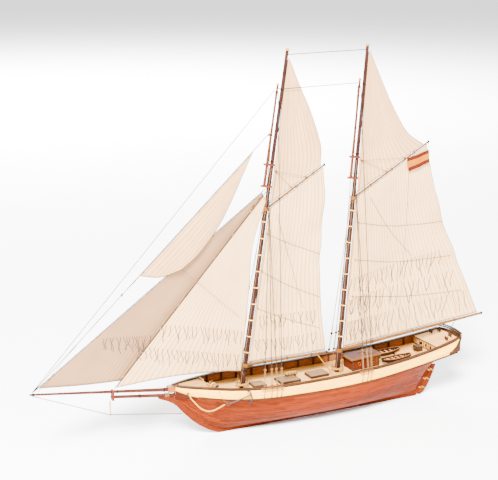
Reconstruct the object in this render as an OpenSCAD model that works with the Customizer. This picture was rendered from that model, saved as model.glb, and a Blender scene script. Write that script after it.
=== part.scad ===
// Two-masted gaff schooner, a plank-on-bulkhead display model.
// +X points aft, +Y to starboard, +Z up. Origin: middle of the keel's underside.

/* [Hull] */
// Half-breadth of the rail amidships
half_beam = 39; // [36:0.5:42]
// Height of the rail amidships
rail_z = 59.7; // [57:0.5:62]
// Depth of the deck below the rail
well_depth = 11; // [9:0.5:12]
// Thickness of the planked skin
plank_t = 1.4; // [1:0.1:2]
// Thickness of the bulwark
bulwark_t = 2; // [1.6:0.1:2.4]
// Width of the cap rail
cap_w = 4.4; // [3.6:0.2:5]
// Thickness of the cap rail
cap_t = 1.3; // [1:0.1:1.8]
// Width of the keel, stem and sternpost
keel_w = 4; // [3.4:0.2:5]
// Depth of the keel
keel_d = 4.5; // [3.5:0.5:6]

/* [Spars] */
// Fore mast position at the deck
fore_x = -110.8; // [-114:0.2:-108]
// Fore mast rake in degrees
fore_rake = 8.3; // [6:0.1:10]
// Main mast position at the deck
main_x = 18.7; // [16:0.2:22]
// Main mast rake in degrees
main_rake = 4.8; // [3:0.1:7]
// Mast length above the deck
mast_len = 396; // [390:1:400]
// Mast radius at the deck
mast_r = 3.2; // [2.8:0.1:3.6]
// Mast radius at the head
mast_top_r = 1.8; // [1.5:0.1:2]
// Topmast radius
topmast_r = 1.7; // [1.4:0.1:2]
// Boom radius
boom_r = 2; // [1.6:0.1:2.4]
// Gaff radius
gaff_r = 1.6; // [1.3:0.1:2]
// Bowsprit radius
bowsprit_r = 2; // [1.8:0.1:2.3]
// Jibboom radius
jibboom_r = 2.1; // [1.8:0.1:2.4]

/* [Sails and rigging] */
// Thickness of the sailcloth
cloth_t = 0.5; // [0.4:0.1:0.8]
// Radius of the shrouds and stays
stay_r = 0.35; // [0.25:0.05:0.5]
// Radius of the anchor cable
cable_r = 0.8; // [0.6:0.1:1]

/* [Moving gear] */
// Swing of the rudder to each side, in degrees
rudder_swing = 35; // [20:1:40]
// Swing of each boom to each side, in degrees
boom_swing = 20; // [10:1:25]
// Radial clearance of pins and barrels in their bearings
run_gap = 0.05; // [0.03:0.01:0.1]

/* [Hidden] */
$fn = 24;

// --- curves -------------------------------------------------------------
// A curve is a list of [x, value]; fair() runs a smooth cubic through it.
function seg(c, x, i = 0) = (i >= len(c) - 2 || x <= c[i + 1][0]) ? i : seg(c, x, i + 1);
function rise(c, i) = let (a = max(i - 1, 0), b = min(i + 1, len(c) - 1))
    (c[b][1] - c[a][1]) / (c[b][0] - c[a][0]);
function fair(c, x) = let (i = seg(c, x), h = c[i + 1][0] - c[i][0], t = (x - c[i][0]) / h)
    c[i][1] * (1 - 3 * t * t + 2 * t * t * t) + c[i + 1][1] * (3 * t * t - 2 * t * t * t)
    + rise(c, i) * h * t * (1 - t) * (1 - t) - rise(c, i + 1) * h * t * t * (1 - t);
function mix(a, b, t) = a + (b - a) * t;

// --- hull lines ---------------------------------------------------------
bow_x = -197;
stern_x = 184.5;
PLAN = [[-197, 0.07], [-190, 0.2], [-180, 0.34], [-165, 0.51], [-135, 0.8], [-95, 0.965], [-45, 1],
    [5, 1], [55, 0.965], [95, 0.9], [135, 0.81], [165, 0.72], [184.5, 0.64]];
SHEER = [[-197, 8.6], [-185, 7.4], [-165, 5.7], [-135, 3.3], [-95, 0.8], [-45, 0], [5, 0.7],
    [55, 2.6], [95, 5.3], [135, 10], [165, 14.6], [184.5, 18.8]];
WALE = [[-197, 57], [-185, 55.4], [-165, 52.4], [-135, 49.4], [-95, 46.9], [-45, 45.4], [5, 45.2],
    [55, 47], [95, 50.4], [135, 54.4], [165, 57.4], [184.5, 59.4]];
// Lower edge of the planking: stem, keel, sternpost, then the counter
RABBET = [[-197, 54.6], [-192, 47], [-185, 38.5], [-175, 27.5], [-165, 18.5], [-152, 10], [-138, 5.2],
    [-120, 4.5], [120, 4.5], [131, 4.6], [142, 23.6], [152, 40.2], [165, 48.2], [178, 55.8]];
// 1 is a full midship section, 0 is a fine hollow one
FULLNESS = [[-197, 0.1], [-165, 0.3], [-120, 0.62], [-60, 0.9], [20, 0.95], [80, 0.66], [120, 0.32],
    [150, 0.16], [178, 0.35]];
function rail_h(x) = rail_z + fair(SHEER, x);
function rail_b(x) = half_beam * fair(PLAN, x);
function wale_h(x) = fair(WALE, x);
function wale_b(x) = rail_b(x) - (x < -120 ? 2.6 * pow((-120 - x) / 77, 1.3) : 0) * 0.9;
function rabbet_h(x) = min(fair(RABBET, x), wale_h(x) - 1);
function deck_h(x) = rail_h(x) - well_depth;
function fullness(x) = fair(FULLNESS, x);
// Share of the half-breadth reached at share t of the height from rabbet to wale
function bilge(t, f) = f * pow(1 - pow(1 - t, 2.5), 0.6) + (1 - f) * pow(t, 1.55);
function skin(x, t) = let (y0 = keel_w / 2 - 0.3)
    [y0 + max(wale_b(x) - y0, 0.2) * bilge(t, fullness(x)), mix(rabbet_h(x), wale_h(x), t)];
// Half-breadth of the outer skin at height z, below the rail
function breadth(x, z) = z >= wale_h(x)
    ? mix(wale_b(x), rail_b(x), min((z - wale_h(x)) / (rail_h(x) - wale_h(x)), 1))
    : skin(x, max(0, (z - rabbet_h(x)) / (wale_h(x) - rabbet_h(x))))[0];
function inner_b(x) = max(rail_b(x) - bulwark_t, 0.6);
// Point of a section moved square to the skin by d, inwards
function inset(x, t, d) = let (p = skin(x, t), v = skin(x, min(t + 0.03, 1)) - skin(x, max(t - 0.03, 0)))
    [max(p[0] - d * v[1] / norm(v), 0.35), min(p[1] + d * v[0] / norm(v), wale_h(x))];
// Points [y, z] of one side of a section, from the keel up
function side_points(x, d, n = 9) = [for (i = [0 : n]) inset(x, pow(i / n, 1.3), d)];
function stations(a, b, n) = [for (i = [0 : n]) mix(a, b, i / n)];

// Solid between rings of equal point counts, each ring a closed loop of [x, y, z]
module loft(rings) {
    k = len(rings[0]);
    m = len(rings);
    sides = [for (j = [0 : m - 2]) for (i = [0 : k - 1])
        [(j + 1) * k + i, (j + 1) * k + (i + 1) % k, j * k + (i + 1) % k, j * k + i]];
    polyhedron(
        points = [for (r = rings) for (p = r) p],
        faces = concat(sides, [[for (i = [0 : k - 1]) i]], [[for (i = [0 : k - 1]) m * k - 1 - i]]),
        convexity = 8);
}
module mirrored() {
    children();
    mirror([0, 1, 0]) children();
}
// Thin round bar between two points
module bar(a, b, r, r2 = -1) {
    d = b - a;
    translate(a) rotate([0, acos(d[2] / norm(d)), atan2(d[1], d[0])])
        cylinder(h = norm(d), r1 = r, r2 = r2 < 0 ? r : r2);
}
module line(points, r) {
    for (i = [0 : len(points) - 2]) bar(points[i], points[i + 1], r);
}

// --- spar lines ---------------------------------------------------------
fore_deck_z = deck_h(fore_x);
main_deck_z = deck_h(main_x);
function on_fore(h, x = 0) = [fore_x + h * sin(fore_rake) + x * cos(fore_rake), 0,
    fore_deck_z + h * cos(fore_rake) - x * sin(fore_rake)];
function on_main(h, x = 0) = [main_x + h * sin(main_rake) + x * cos(main_rake), 0,
    main_deck_z + h * cos(main_rake) - x * sin(main_rake)];
// Mast radius at height h above the deck
function mast_radius(h) = mix(mast_r, mast_top_r, max(h, 0) / mast_len);
module at_fore(h) { translate(on_fore(h)) rotate([0, fore_rake, 0]) children(); }
module at_main(h) { translate(on_main(h)) rotate([0, main_rake, 0]) children(); }
jib_tip = [-365, 0, 83.6];
jib_heel = [-204.5, 0, 63.4];
bowsprit_head = [-273, 0, 65.8];
bowsprit_heel = [-197.4, 0, 55.6];
post_foot = [139.6, 0, 4];
post_rake = 30;
module on_post(h) { translate(post_foot) rotate([0, post_rake, 0]) translate([0, 0, h]) children(); }
gudgeon_h = [6, 18.5, 31];

// --- hull ---------------------------------------------------------------
frame_x = [-170, -146, -123, -92, -62, -34, -4, 26, 56, 84, 108, 126];
// Height above the rabbet where the bulkheads' slots meet the false keel's
slot_z = 14;
module false_keel() color("burlywood") difference() {
    rotate([90, 0, 0]) translate([0, 0, -1.6]) linear_extrude(3.2)
        polygon(concat(
            [for (x = stations(-180, 136, 40)) [x, rabbet_h(x) + 3.4]],
            [for (x = stations(136, -180, 20)) [x, deck_h(x) - 3.2]]));
    for (x = frame_x) translate([x - 1.6, -3, rabbet_h(x) + slot_z]) cube([3.2, 6, 60]);
    for (h = [fore_x, main_x]) at_mast_heel(h);
}
module at_mast_heel(x) {
    translate([x, 0, deck_h(x)]) rotate([0, x < 0 ? fore_rake : main_rake, 0])
        translate([0, 0, -26]) cylinder(h = 60, r = mast_r + 0.3);
}
module bulkhead(x) {
    top = deck_h(x) - 3.2;
    half = [for (p = side_points(x, plank_t + 0.8)) if (p[1] > rabbet_h(x) + 4.5 && p[1] < top - 0.5) p];
    rim = min(breadth(x - 1.5, top), breadth(x + 1.5, top)) - bulwark_t - 0.8;
    outline = concat([[0.5, rabbet_h(x) + 4.5]], half, [[rim, top]]);
    translate([x - 1.5, 0, 0]) rotate([90, 0, 90]) linear_extrude(3) difference() {
        polygon(concat(outline, [for (i = [len(outline) - 1 : -1 : 0]) [-outline[i][0], outline[i][1]]]));
        translate([-1.7, 0]) square([3.4, rabbet_h(x) + slot_z + 0.2]);
    }
}
module bulkheads() color("tan") for (x = frame_x) bulkhead(x);

module keel_and_posts() color("sienna") difference() {
    rotate([90, 0, 0]) translate([0, 0, -keel_w / 2]) linear_extrude(keel_w) polygon(concat(
        [[136.9, 0], [post_foot[0] - 4.2, 1.6], [post_foot[0] + 18.2, 39.6]],
        [for (x = stations(150, 119, 14)) [x, rabbet_h(x) - 1]],
        [for (x = stations(116, -192, 34)) [x, rabbet_h(x) - 0.4]],
        [[-196.8, 53.4], [-216.6, 56], [-216, 54.2], [-206.7, 50.4],
         [-199.6, 46.2], [-194.6, 42.3], [-185.3, 31], [-175.3, 20.9], [-166.9, 13.8], [-158.4, 8.3],
         [-149.9, 3.5], [-143, 0.9], [-137.5, 0]]));
    for (h = gudgeon_h) on_post(h - 1) cylinder(h = 2.4, r = 2);
    bowsprit_way();
}
module half_planking() {
    loft([for (x = stations(-196.4, 177.5, 44)) let (
        outer = side_points(x, 0), inner = side_points(x, plank_t))
        [for (p = concat(outer, [for (i = [len(inner) - 1 : -1 : 0]) inner[i]])) [x, p[0], p[1]]]]);
}
module planking_port() color("chocolate") mirror([0, 1, 0]) half_planking();
module planking_starboard() color("chocolate") half_planking();

// Side planking above the wale; its after end leans with the stern board
module bulwark() {
    loft([for (u = stations(0, 1, 34)) let (x = mix(-196, 176.6, u), s = mix(-196, 182.4, u),
        b = wale_b(x), c = rail_b(s), t = min(bulwark_t, b - 0.4),
        low = wale_h(x) + 0.1, top = rail_h(s) - cap_t - 0.15)
        [[x, b, low], [s, c, top], [s, c - min(t, c - 0.4), top], [x, b - t, low]]]);
}
module bulwarks() color("cornsilk") mirrored() bulwark();
module wales() color("saddlebrown") mirrored()
    loft([for (x = stations(-173, 176, 34)) let (b = wale_b(x) + 0.25, z = wale_h(x))
        [[x, b, z - 1], [x, b + 0.7, z - 0.7], [x, b + 0.7, z + 0.7], [x, b, z + 1]]]);
module cap_rails() color("saddlebrown") mirrored()
    loft([for (x = stations(-199, 183, 36)) let (c = rail_b(max(x, bow_x)) + 0.7, z = rail_h(max(x, bow_x)))
        [[x, c, z - cap_t + 0.05], [x, c, z], [x, max(c - cap_w, 0.3), z],
         [x, max(c - cap_w, 0.3), z - cap_t + 0.05]]]);
// Deck plate between two stations, following the sheer
module deck(a, b, n, drop, thick, inset) {
    camber = 0.6;
    loft([for (x = stations(a, b, n)) let (w = max(breadth(x, rail_h(x) - drop) - inset, 0.8),
        z = rail_h(x) - drop)
        [[x, -w, z - thick], [x, w, z - thick], [x, w, z], [x, w / 2, z + camber * 0.75], [x, 0, z + camber],
         [x, -w / 2, z + camber * 0.75], [x, -w, z]]]);
}
module main_deck() color("burlywood") difference() {
    deck(-176, 147, 28, well_depth, 2, bulwark_t + 0.35);
    for (h = [fore_x, main_x]) at_mast_heel(h);
}
module foredeck() color("tan") {
    deck(-190, -157, 8, cap_t + 0.2, 1.2, bulwark_t + 0.3);
    w = breadth(-159, deck_h(-159)) - bulwark_t - 0.3;
    translate([-159, -w, deck_h(-157) + 0.9]) cube([1.2, 2 * w, 7.3]);
    for (s = [-1, 1]) translate([-159, s * w * 0.55 - 5, rail_h(-157) - 1]) cube([1.6, 10, 2.2]);
}
module quarterdeck() color("tan") {
    deck(148, 182.5, 8, cap_t + 0.2, 1.2, bulwark_t + 0.3);
    w = inner_b(149) - 0.6;
    difference() {
        translate([148.2, -w, deck_h(148) - 0.6]) cube([1.4, 2 * w, rail_h(148) - deck_h(148) - 1.6]);
        for (s = [-1, 0, 1]) translate([147, s * 10 - 2.6, deck_h(148) + 1.6]) cube([4, 5.2, 4.6]);
    }
}
// Stern board, leaning aft, with the quarter pieces that wrap the planks' ends
stern_b = 25;
module transom() color("saddlebrown") {
    loft([for (i = [0 : 8]) let (y = mix(-stern_b, stern_b, i / 8), c = 1 - y * y / stern_b / stern_b)
        [[178.4 + 2 * c, y, 57.2 - 1.6 * c], [184.2 + 2.6 * c, y, 77.4 + 1.5 * c],
         [186.4 + 2.6 * c, y, 77.6 + 1.5 * c], [180.6 + 2 * c, y, 57 - 1.6 * c]]]);
    mirrored() loft([for (x = stations(166, 183.5, 5)) let (b = breadth(x, 60) + 0.15,
        top = x < 172 ? 61.5 : x < 178 ? 64 + (x - 172) * 0.6 : 69 + (x - 178) * 1.3)
        [[x, b, wale_h(x) + 1.1], [x, b + 0.9, wale_h(x) + 1.1], [x, rail_b(x) + 1.05, top],
         [x, rail_b(x) + 0.15, top]]]);
}
module stern_rail() color("saddlebrown") {
    for (z = [0, 1]) loft([for (i = [0 : 10]) let (y = mix(-stern_b, stern_b, i / 10),
        c = 1 - y * y / stern_b / stern_b, base = 79.1 + 1.5 * c + z * 2.6)
        [[183.4 + 2.6 * c, y, base + 0.9], [187 + 2.6 * c, y, base + 0.9], [187 + 2.6 * c, y, base],
         [183.4 + 2.6 * c, y, base]]]);
    for (y = [-24 : 4 : 24]) let (c = 1 - y * y / stern_b / stern_b)
        translate([185.2 + 2.6 * c, y, 79.8 + 1.5 * c]) cylinder(h = 2.1, r = 0.7, $fn = 16);
}
timber_x = [for (i = [0 : 13]) -146 + i * 21.5];
// Half-width of the deck inside the bulwark, over the 2 mm aft of x
function deck_edge(x) = min(breadth(x, deck_h(x)), breadth(x + 2, deck_h(x + 2))) - bulwark_t - 0.05;
module timberheads() color("saddlebrown") mirrored() for (x = timber_x)
    translate([x, deck_edge(x) - 1.4, deck_h(x) + 0.7])
        cube([2, 1.2, well_depth - cap_t - 1]);
module trailboards() color("brown") mirrored()
    loft([for (u = stations(0, 1, 12)) let (
        x = mix(-196.4, -174.5, u), z = mix(57, 52.2, u), h = mix(4.4, 0.8, u), b = breadth(x, z + h) + 0.65)
        [[x, b, z - h], [x, b + 0.8, z - h], [x, b + 0.8, z + h], [x, b, z + h]]]);

// --- rudder -------------------------------------------------------------
pin_r = 0.8;
module gudgeons() color("gold") for (h = gudgeon_h) on_post(h - 0.6) {
    difference() {
        union() {
            cylinder(h = 1.4, r = 1.6);
            for (s = [-1, 1]) translate([-4.6, s * 2.05 + (s < 0 ? -0.5 : 0), 0]) cube([4, 0.5, 1.4]);
            for (s = [-1, 1]) translate([-1.4, s * 1.3 + (s < 0 ? -1.2 : 0), 0]) cube([0.8, 1.2, 1.4]);
        }
        translate([0, 0, -1]) cylinder(h = 4, r = pin_r + run_gap);
    }
}
module rudder() color("chocolate") difference() {
    on_post(0) {
        rotate([90, 0, 0]) translate([0, 0, -1.4]) linear_extrude(2.8)
            polygon([[0, -3], [3.6, -1.5], [6.7, 4], [7.5, 16], [6.4, 30], [4.4, 41.5], [0, 39.5]]);
        translate([0, 0, -3]) cylinder(h = 42.2, r = 1.4);
    }
    for (h = gudgeon_h) on_post(h - 1.1) {
        cylinder(h = 2.4, r = 2.2);
        translate([-4, -3, 0]) cube([4, 6, 2.4]);
        translate([0, 0, -2]) cylinder(h = 8, r = pin_r + 0.02);
        translate([-1.6, -3, 2.3]) cube([2.9, 6, 1.7]);
    }
}
module pintles() color("gold") for (h = gudgeon_h) on_post(h) {
    translate([0, 0, -2]) cylinder(h = 4.4, r = pin_r);
    translate([-0.8, -1.95, 1.4]) cube([2, 3.9, 1.4]);
    for (s = [-1, 1]) translate([0.4, s * 1.45 + (s < 0 ? -0.5 : 0), 1.4]) cube([6, 0.5, 1.4]);
}

// --- rigging points -----------------------------------------------------
fore_shroud_x = [-100.5, -91.5, -85, -79];
main_shroud_x = [31, 38, 43];
channel_w = 2.9;
module channel(xs) {
    a = xs[0] - 4;
    b = xs[len(xs) - 1] + 3;
    loft([for (x = stations(a, b, 4)) let (c = rail_b(x) + 0.8, z = rail_h(x) - 0.6)
        [[x, c, z - 0.6], [x, c + channel_w, z - 0.6], [x, c + channel_w, z + 0.6], [x, c, z + 0.6]]]);
}
module channels() color("saddlebrown") mirrored() {
    channel(fore_shroud_x);
    channel(main_shroud_x);
}
// Lower deadeyes stand on the channels; the upper ones are a lanyard's length above them
function eye_low(x) = [x, rail_b(x) + 2.9, rail_h(x) + 2.8];
function eye_high(x, head) = let (a = eye_low(x)) a + (head - a) * (x < 0 ? 19 : 23) / norm(head - a);
module deadeye(p) { translate(p) rotate([90, 0, 0]) cylinder(h = 1.6, r = 1.7, center = true); }
// Where each shroud goes aloft; the last one of each mast is the topmast backstay
function fore_head(i) = i < 3 ? on_fore(234 - 3 * i, 0) : on_fore(350, -6.2);
function main_head(i) = i < 2 ? on_main(234 - 3 * i, 0) : on_main(350, -6.2);
module deadeyes() color("tan") {
    mirrored() for (i = [0 : 3]) {
        deadeye(eye_low(fore_shroud_x[i]));
        deadeye(eye_high(fore_shroud_x[i], fore_head(i)));
    }
    mirrored() for (i = [0 : 2]) {
        deadeye(eye_low(main_shroud_x[i]));
        deadeye(eye_high(main_shroud_x[i], main_head(i)));
    }
}
// One shroud with its lanyards, and the chainplate that holds it down to the wale
module shroud(x, head) {
    a = eye_high(x, head);
    low = eye_low(x);
    bar(a + (head - a) * 1.8 / norm(head - a), head + [0, mast_radius(234) + 0.5, 0], stay_r);
    for (dx = [-0.8, 0.8]) bar(low + [dx, 0, 1.75], a + [dx, 0, -1.75], 0.2);
    bar(low + [0, 1.2, -0.8], low + [0, 1.2, -4.2], 0.3);
    bar(low + [0, 1.2, -4.2], [x + 0.5, breadth(x, wale_h(x) + 2) + 0.7, wale_h(x) + 1.4], 0.3);
}
module shrouds() color("dimgray") {
    mirrored() for (i = [0 : 3]) shroud(fore_shroud_x[i], fore_head(i));
    mirrored() for (i = [0 : 2]) shroud(main_shroud_x[i], main_head(i));
}
striker_foot = [-274, 0, 44];
// Each stay as its lower and upper end; the sails hang just below them
FLYING_STAY = [jib_tip + [3.6, 0, 2], on_fore(302, -8.4)];
JIB_STAY = [jib_tip + [5, 1.2, 2.2], on_fore(237.5, -4) + [0, 1.2, 0]];
FORESTAY = [bowsprit_head + [4, -0.8, 9.2], on_fore(234, -4) - [0, 0.8, 0]];
module stays() color("dimgray") {
    line([jib_tip + [3, 0, 2], on_fore(352, -8.5)], stay_r);
    line(FLYING_STAY, stay_r);
    line(JIB_STAY, stay_r);
    line(FORESTAY, stay_r);
    line([on_fore(392, 1.9), on_main(392, -1.9)], stay_r);
    line([on_fore(353, -4.8), on_fore(353.4, 0) - [0, 2.7, 0]], stay_r);
    line([on_fore(353.4, 0.8) - [0, 2.7, 0], on_main(353, -8.5)], stay_r);
    line([jib_tip + [3, 0, -2], striker_foot + [-1.2, 0, 1]], stay_r);
    line([striker_foot + [1.2, 0, 1], [-187.2, 0, 31]], stay_r);
}

// --- masts and spars ----------------------------------------------------
module mast(x, rake) {
    translate([x, 0, deck_h(x)]) rotate([0, rake, 0]) {
        translate([0, 0, -24]) cylinder(h = 24, r = mast_r);
        cylinder(h = mast_len, r1 = mast_r, r2 = mast_top_r);
    }
}
module fore_mast() color("saddlebrown") mast(fore_x, fore_rake);
module main_mast() color("saddlebrown") mast(main_x, main_rake);
cap_h = [240, 265];
topmast_gap = 6.2;
module topmast() {
    translate([-topmast_gap, 0, 239.8]) cylinder(h = 116.2, r1 = topmast_r, r2 = topmast_r * 0.7);
}
module topmasts() color("sienna") {
    at_fore(0) topmast();
    at_main(0) topmast();
}
module mast_cap(h) {
    translate([0, 0, h]) difference() {
        hull() {
            cylinder(h = 2, r = mast_radius(h) + 1.3, $fn = 32);
            translate([-topmast_gap - 1.6, 0, 0]) cylinder(h = 2, r = topmast_r + 1.2, $fn = 32);
        }
        translate([0, 0, -1]) cylinder(h = 4, r = mast_radius(h) + 0.05);
        translate([-topmast_gap, 0, -1]) cylinder(h = 4, r = topmast_r + 0.05);
    }
}
// Cap plates that hold the topmasts, and the one that holds the jibboom
module spar_caps() color("salmon") {
    for (h = cap_h) {
        at_fore(0) mast_cap(h);
        at_main(0) mast_cap(h);
    }
    difference() {
        translate([-272.2, -2.9, bowsprit_head[2] - 4.2]) cube([2.2, 5.8, 12.4]);
        bar(bowsprit_heel, bowsprit_head + 0.05 * (bowsprit_head - bowsprit_heel), bowsprit_r * 0.93 + 0.1);
        jibboom_way();
    }
}
module truck(r) { cylinder(h = 1.6, r = r, $fn = 24); translate([0, 0, 1.6]) sphere(r = r * 0.75, $fn = 16); }
module mast_trucks() color("wheat") {
    at_fore(mast_len) truck(2.2);
    at_main(mast_len) truck(2.2);
    at_fore(356) translate([-topmast_gap, 0, 0]) truck(1.9);
    at_main(356) translate([-topmast_gap, 0, 0]) truck(1.9);
}
module bowsprit_way() { bar(bowsprit_heel, bowsprit_head, bowsprit_r + 0.1); }
module jibboom_way() { bar(jib_heel - 0.06 * (jib_tip - jib_heel), jib_tip, jibboom_r + 0.1); }
module bowsprit() color("sienna") bar(bowsprit_heel, bowsprit_head, bowsprit_r, bowsprit_r * 0.9);
module jibboom() color("sienna") bar(jib_heel, jib_tip, jibboom_r, jibboom_r * 0.55);
module dolphin_striker() color("burlywood") bar(striker_foot, striker_foot + [-0.4, 0, 17], 0.7, 1);

// --- sails --------------------------------------------------------------
// Sailcloth panel on the centreplane from its [x, z] corners
module cloth(points) {
    rotate([90, 0, 0]) translate([0, 0, -cloth_t / 2]) linear_extrude(cloth_t) polygon(points);
}
// Point at share t up a stay, off millimetres below and aft of it, as [x, z]
function luff(stay, t, off = 1) = let (a = stay[0], b = stay[1], d = [b[0] - a[0], b[2] - a[2]])
    [mix(a[0], b[0], t), mix(a[2], b[2], t)] + off * [d[1], -d[0]] / norm(d);
module flying_jib() color("linen") cloth([luff(FLYING_STAY, 0.44), luff(FLYING_STAY, 0.925),
    [-112.7, 297], [-136.6, 253], [-162.8, 220.9], [-186.2, 203.8]]);
module jib() color("linen") translate([0, JIB_STAY[0][1], 0])
    cloth([luff(JIB_STAY, 0.02), luff(JIB_STAY, 0.985), [-104, 235], [-118, 160], [-134, 82], [-200, 80.5],
        [-290, 83]]);
module fore_staysail() color("linen") translate([0, FORESTAY[0][1], 0])
    cloth([luff(FORESTAY, 0.01), luff(FORESTAY, 0.985), [-97.5, 221], [-102.7, 165.4], [-109.2, 107.8],
        [-113, 72], [-140, 75.7], [-200, 79]]);

// --- gaff sails: each set swings on its mast ----------------------------
// Height of each spar's jaws above the deck, along the mast, and its outer end
fore_boom_h = 28;
fore_boom_end = [4.8, 0, 77.8];
fore_gaff_h = 214.8;
fore_gaff_end = [-2.7, 0, 309.3];
main_boom_h = 27.8;
main_boom_end = [235, 0, 96.8];
main_gaff_h = 216.8;
main_gaff_end = [142.7, 0, 327.1];
// Collar round the mast
module jaws(bore_r) difference() {
    cylinder(h = 4, r = bore_r + 1.3, center = true);
    cylinder(h = 6, r = bore_r, center = true);
}
// Spar from the collar's wall to its outer end
module spar(jaw, end, r, tip_r, bore_r) {
    d = end - jaw;
    bar(jaw + d * (bore_r + 1.25) / norm([d[0], d[1], 0]), end, r, tip_r);
}
module fore_boom() color("peru") {
    at_fore(fore_boom_h) jaws(mast_r + run_gap);
    spar(on_fore(fore_boom_h), fore_boom_end, boom_r, boom_r * 0.7, mast_r);
}
module fore_gaff() color("peru") {
    at_fore(fore_gaff_h) jaws(mast_radius(fore_gaff_h - 2) + run_gap);
    spar(on_fore(fore_gaff_h), fore_gaff_end, gaff_r, gaff_r * 0.7, mast_radius(fore_gaff_h));
}
module main_boom() color("peru") {
    at_main(main_boom_h) jaws(mast_r + run_gap);
    spar(on_main(main_boom_h), main_boom_end, boom_r * 1.1, boom_r * 0.75, mast_r);
}
module main_gaff() color("peru") {
    at_main(main_gaff_h) jaws(mast_radius(main_gaff_h - 2) + run_gap);
    spar(on_main(main_gaff_h), main_gaff_end, gaff_r, gaff_r * 0.7, mast_radius(main_gaff_h));
}
// Point at share t along a spar, up millimetres above it, as [x, z]
function along(jaw, end, t, up) = [mix(jaw[0], end[0], t), mix(jaw[2], end[2], t) + up];
function flat(p) = [p[0], p[2]];
module foresail() color("linen") cloth([
    along(on_fore(fore_boom_h), fore_boom_end, 0.06, 3), along(on_fore(fore_boom_h), fore_boom_end, 0.97, 3),
    [-4.1, 134.3], [-6, 204], [-1.5, 265], along(on_fore(fore_gaff_h), fore_gaff_end, 0.97, -3.4),
    along(on_fore(fore_gaff_h), fore_gaff_end, 0.07, -3.6)]);
module fore_topsail() color("linen") cloth([
    flat(on_fore(fore_gaff_h + 9, 5)), along(on_fore(fore_gaff_h), fore_gaff_end, 0.1, 6),
    along(on_fore(fore_gaff_h), fore_gaff_end, 0.93, 4), [-7, 332], [-20.8, 371.4], [-34.7, 398.9],
    flat(on_fore(388, 3.6)), flat(on_fore(386, 2.6)), flat(on_fore(275, 5))]);
module mainsail() color("linen") cloth([
    along(on_main(main_boom_h), main_boom_end, 0.04, 3.2),
    along(on_main(main_boom_h), main_boom_end, 0.962, 3),
    [207.4, 144], [188.3, 185.6], [167.7, 232.8], [152.2, 278.3],
    along(on_main(main_gaff_h), main_gaff_end, 0.97, -3.4),
    along(on_main(main_gaff_h), main_gaff_end, 0.05, -3.6)]);
module main_topsail() color("linen") cloth([
    flat(on_main(main_gaff_h + 9, 5)), along(on_main(main_gaff_h), main_gaff_end, 0.09, 6),
    along(on_main(main_gaff_h), main_gaff_end, 0.92, 4), [112.4, 340.2], [92.1, 370.2], [75.2, 400.6],
    flat(on_main(391, 3.6)), flat(on_main(389, 2.6)), flat(on_main(275, 5))]);
// The ensign hangs below the gaff's peak, on the port side
module flag() color("gold") translate([0, -2.8, 0]) cloth([[110, 309], [141, 317], [142, 301.5], [113, 292]]);

// --- running rigging ----------------------------------------------------
// Hoop that holds the luff to the mast, loose enough to slide
module hoop(h) {
    translate([0, 0, h]) rotate_extrude() translate([mast_radius(h) + 0.75, 0]) circle(r = 0.3, $fn = 16);
}
// Hoops, the peak halyard and its blocks; all of it swings with the gaff
module halyards(cap_point, gaff_points) {
    side = [0, -1.6, 0];
    for (g = gaff_points) line([cap_point + side, [g[0], 0, g[1]] + side], 0.25);
    translate(cap_point + side) rotate([90, 0, 0]) cylinder(h = 1.6, r = 1.5, center = true);
    translate([gaff_points[1][0], 0, gaff_points[1][1]] + side) rotate([90, 0, 0])
        cylinder(h = 1.6, r = 1.1, center = true);
}
module fore_halyards() color("tan") {
    at_fore(0) for (i = [0 : 8]) hoop(44 + 19.5 * i);
    halyards(on_fore(259, 6), [along(on_fore(fore_gaff_h), fore_gaff_end, 0.42, 3),
        along(on_fore(fore_gaff_h), fore_gaff_end, 0.66, 3)]);
}
module main_halyards() color("tan") {
    at_main(0) for (i = [0 : 8]) hoop(46 + 19.5 * i);
    halyards(on_main(262, 6), [along(on_main(main_gaff_h), main_gaff_end, 0.42, 3),
        along(on_main(main_gaff_h), main_gaff_end, 0.66, 3)]);
}
function along_boom(t) = let (p = along(on_main(main_boom_h), main_boom_end, t, -2.6)) [p[0], 0, p[1]];
module main_sheet() color("dimgray") line([[187.6, 0, 84.6], along_boom(0.8)], 0.3);

// --- deck fittings ------------------------------------------------------
// Stands its children on the deck at x, square to the sheer there
module on_deck(x) {
    translate([x, 0, deck_h(x) + 0.75]) rotate([0, -atan(deck_h(x + 1) - deck_h(x)), 0]) children();
}
windlass_x = -146;
module windlass_bitts() color("saddlebrown") {
    for (s = [-1, 1]) difference() {
        translate([windlass_x - 1.5, s * 8 - 1, deck_h(windlass_x) + 0.9]) cube([3, 2, 8]);
        translate([windlass_x, 0, deck_h(windlass_x) + 5]) rotate([90, 0, 0])
            cylinder(h = 30, r = 1 + run_gap, center = true);
    }
    for (p = [[177, -12], [177, 12], [168, -17], [168, 17]])
        translate([p[0], p[1], rail_h(p[0]) - cap_t + 0.6]) {
        for (dy = [-2, 2]) translate([-0.8, dy - 0.8, 0]) cube([1.6, 1.6, 4.5]);
        translate([-0.5, -3.6, 2.4]) cube([1, 7.2, 1]);
    }
}
module windlass_barrel() color("tan") translate([windlass_x, 0, deck_h(windlass_x) + 5]) rotate([90, 0, 0]) {
    cylinder(h = 13.2, r = 2.4, center = true);
    cylinder(h = 24, r = 1, center = true);
    for (s = [-1, 1]) translate([0, 0, s * 11]) cylinder(h = 3, r = 2, center = true);
}
module hatch(x, w, l, h) on_deck(x) {
    difference() {
        translate([-l / 2, -w / 2, 0]) cube([l, w, h]);
        translate([-l / 2 + 1.2, -w / 2 + 1.2, h - 0.8]) cube([l - 2.4, w - 2.4, 2]);
    }
    translate([-l / 2 + 1.3, -w / 2 + 1.3, h - 0.7]) cube([l - 2.6, w - 2.6, 0.6]);
}
pump_pivot = [7, -6, main_deck_z + 3];
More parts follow.
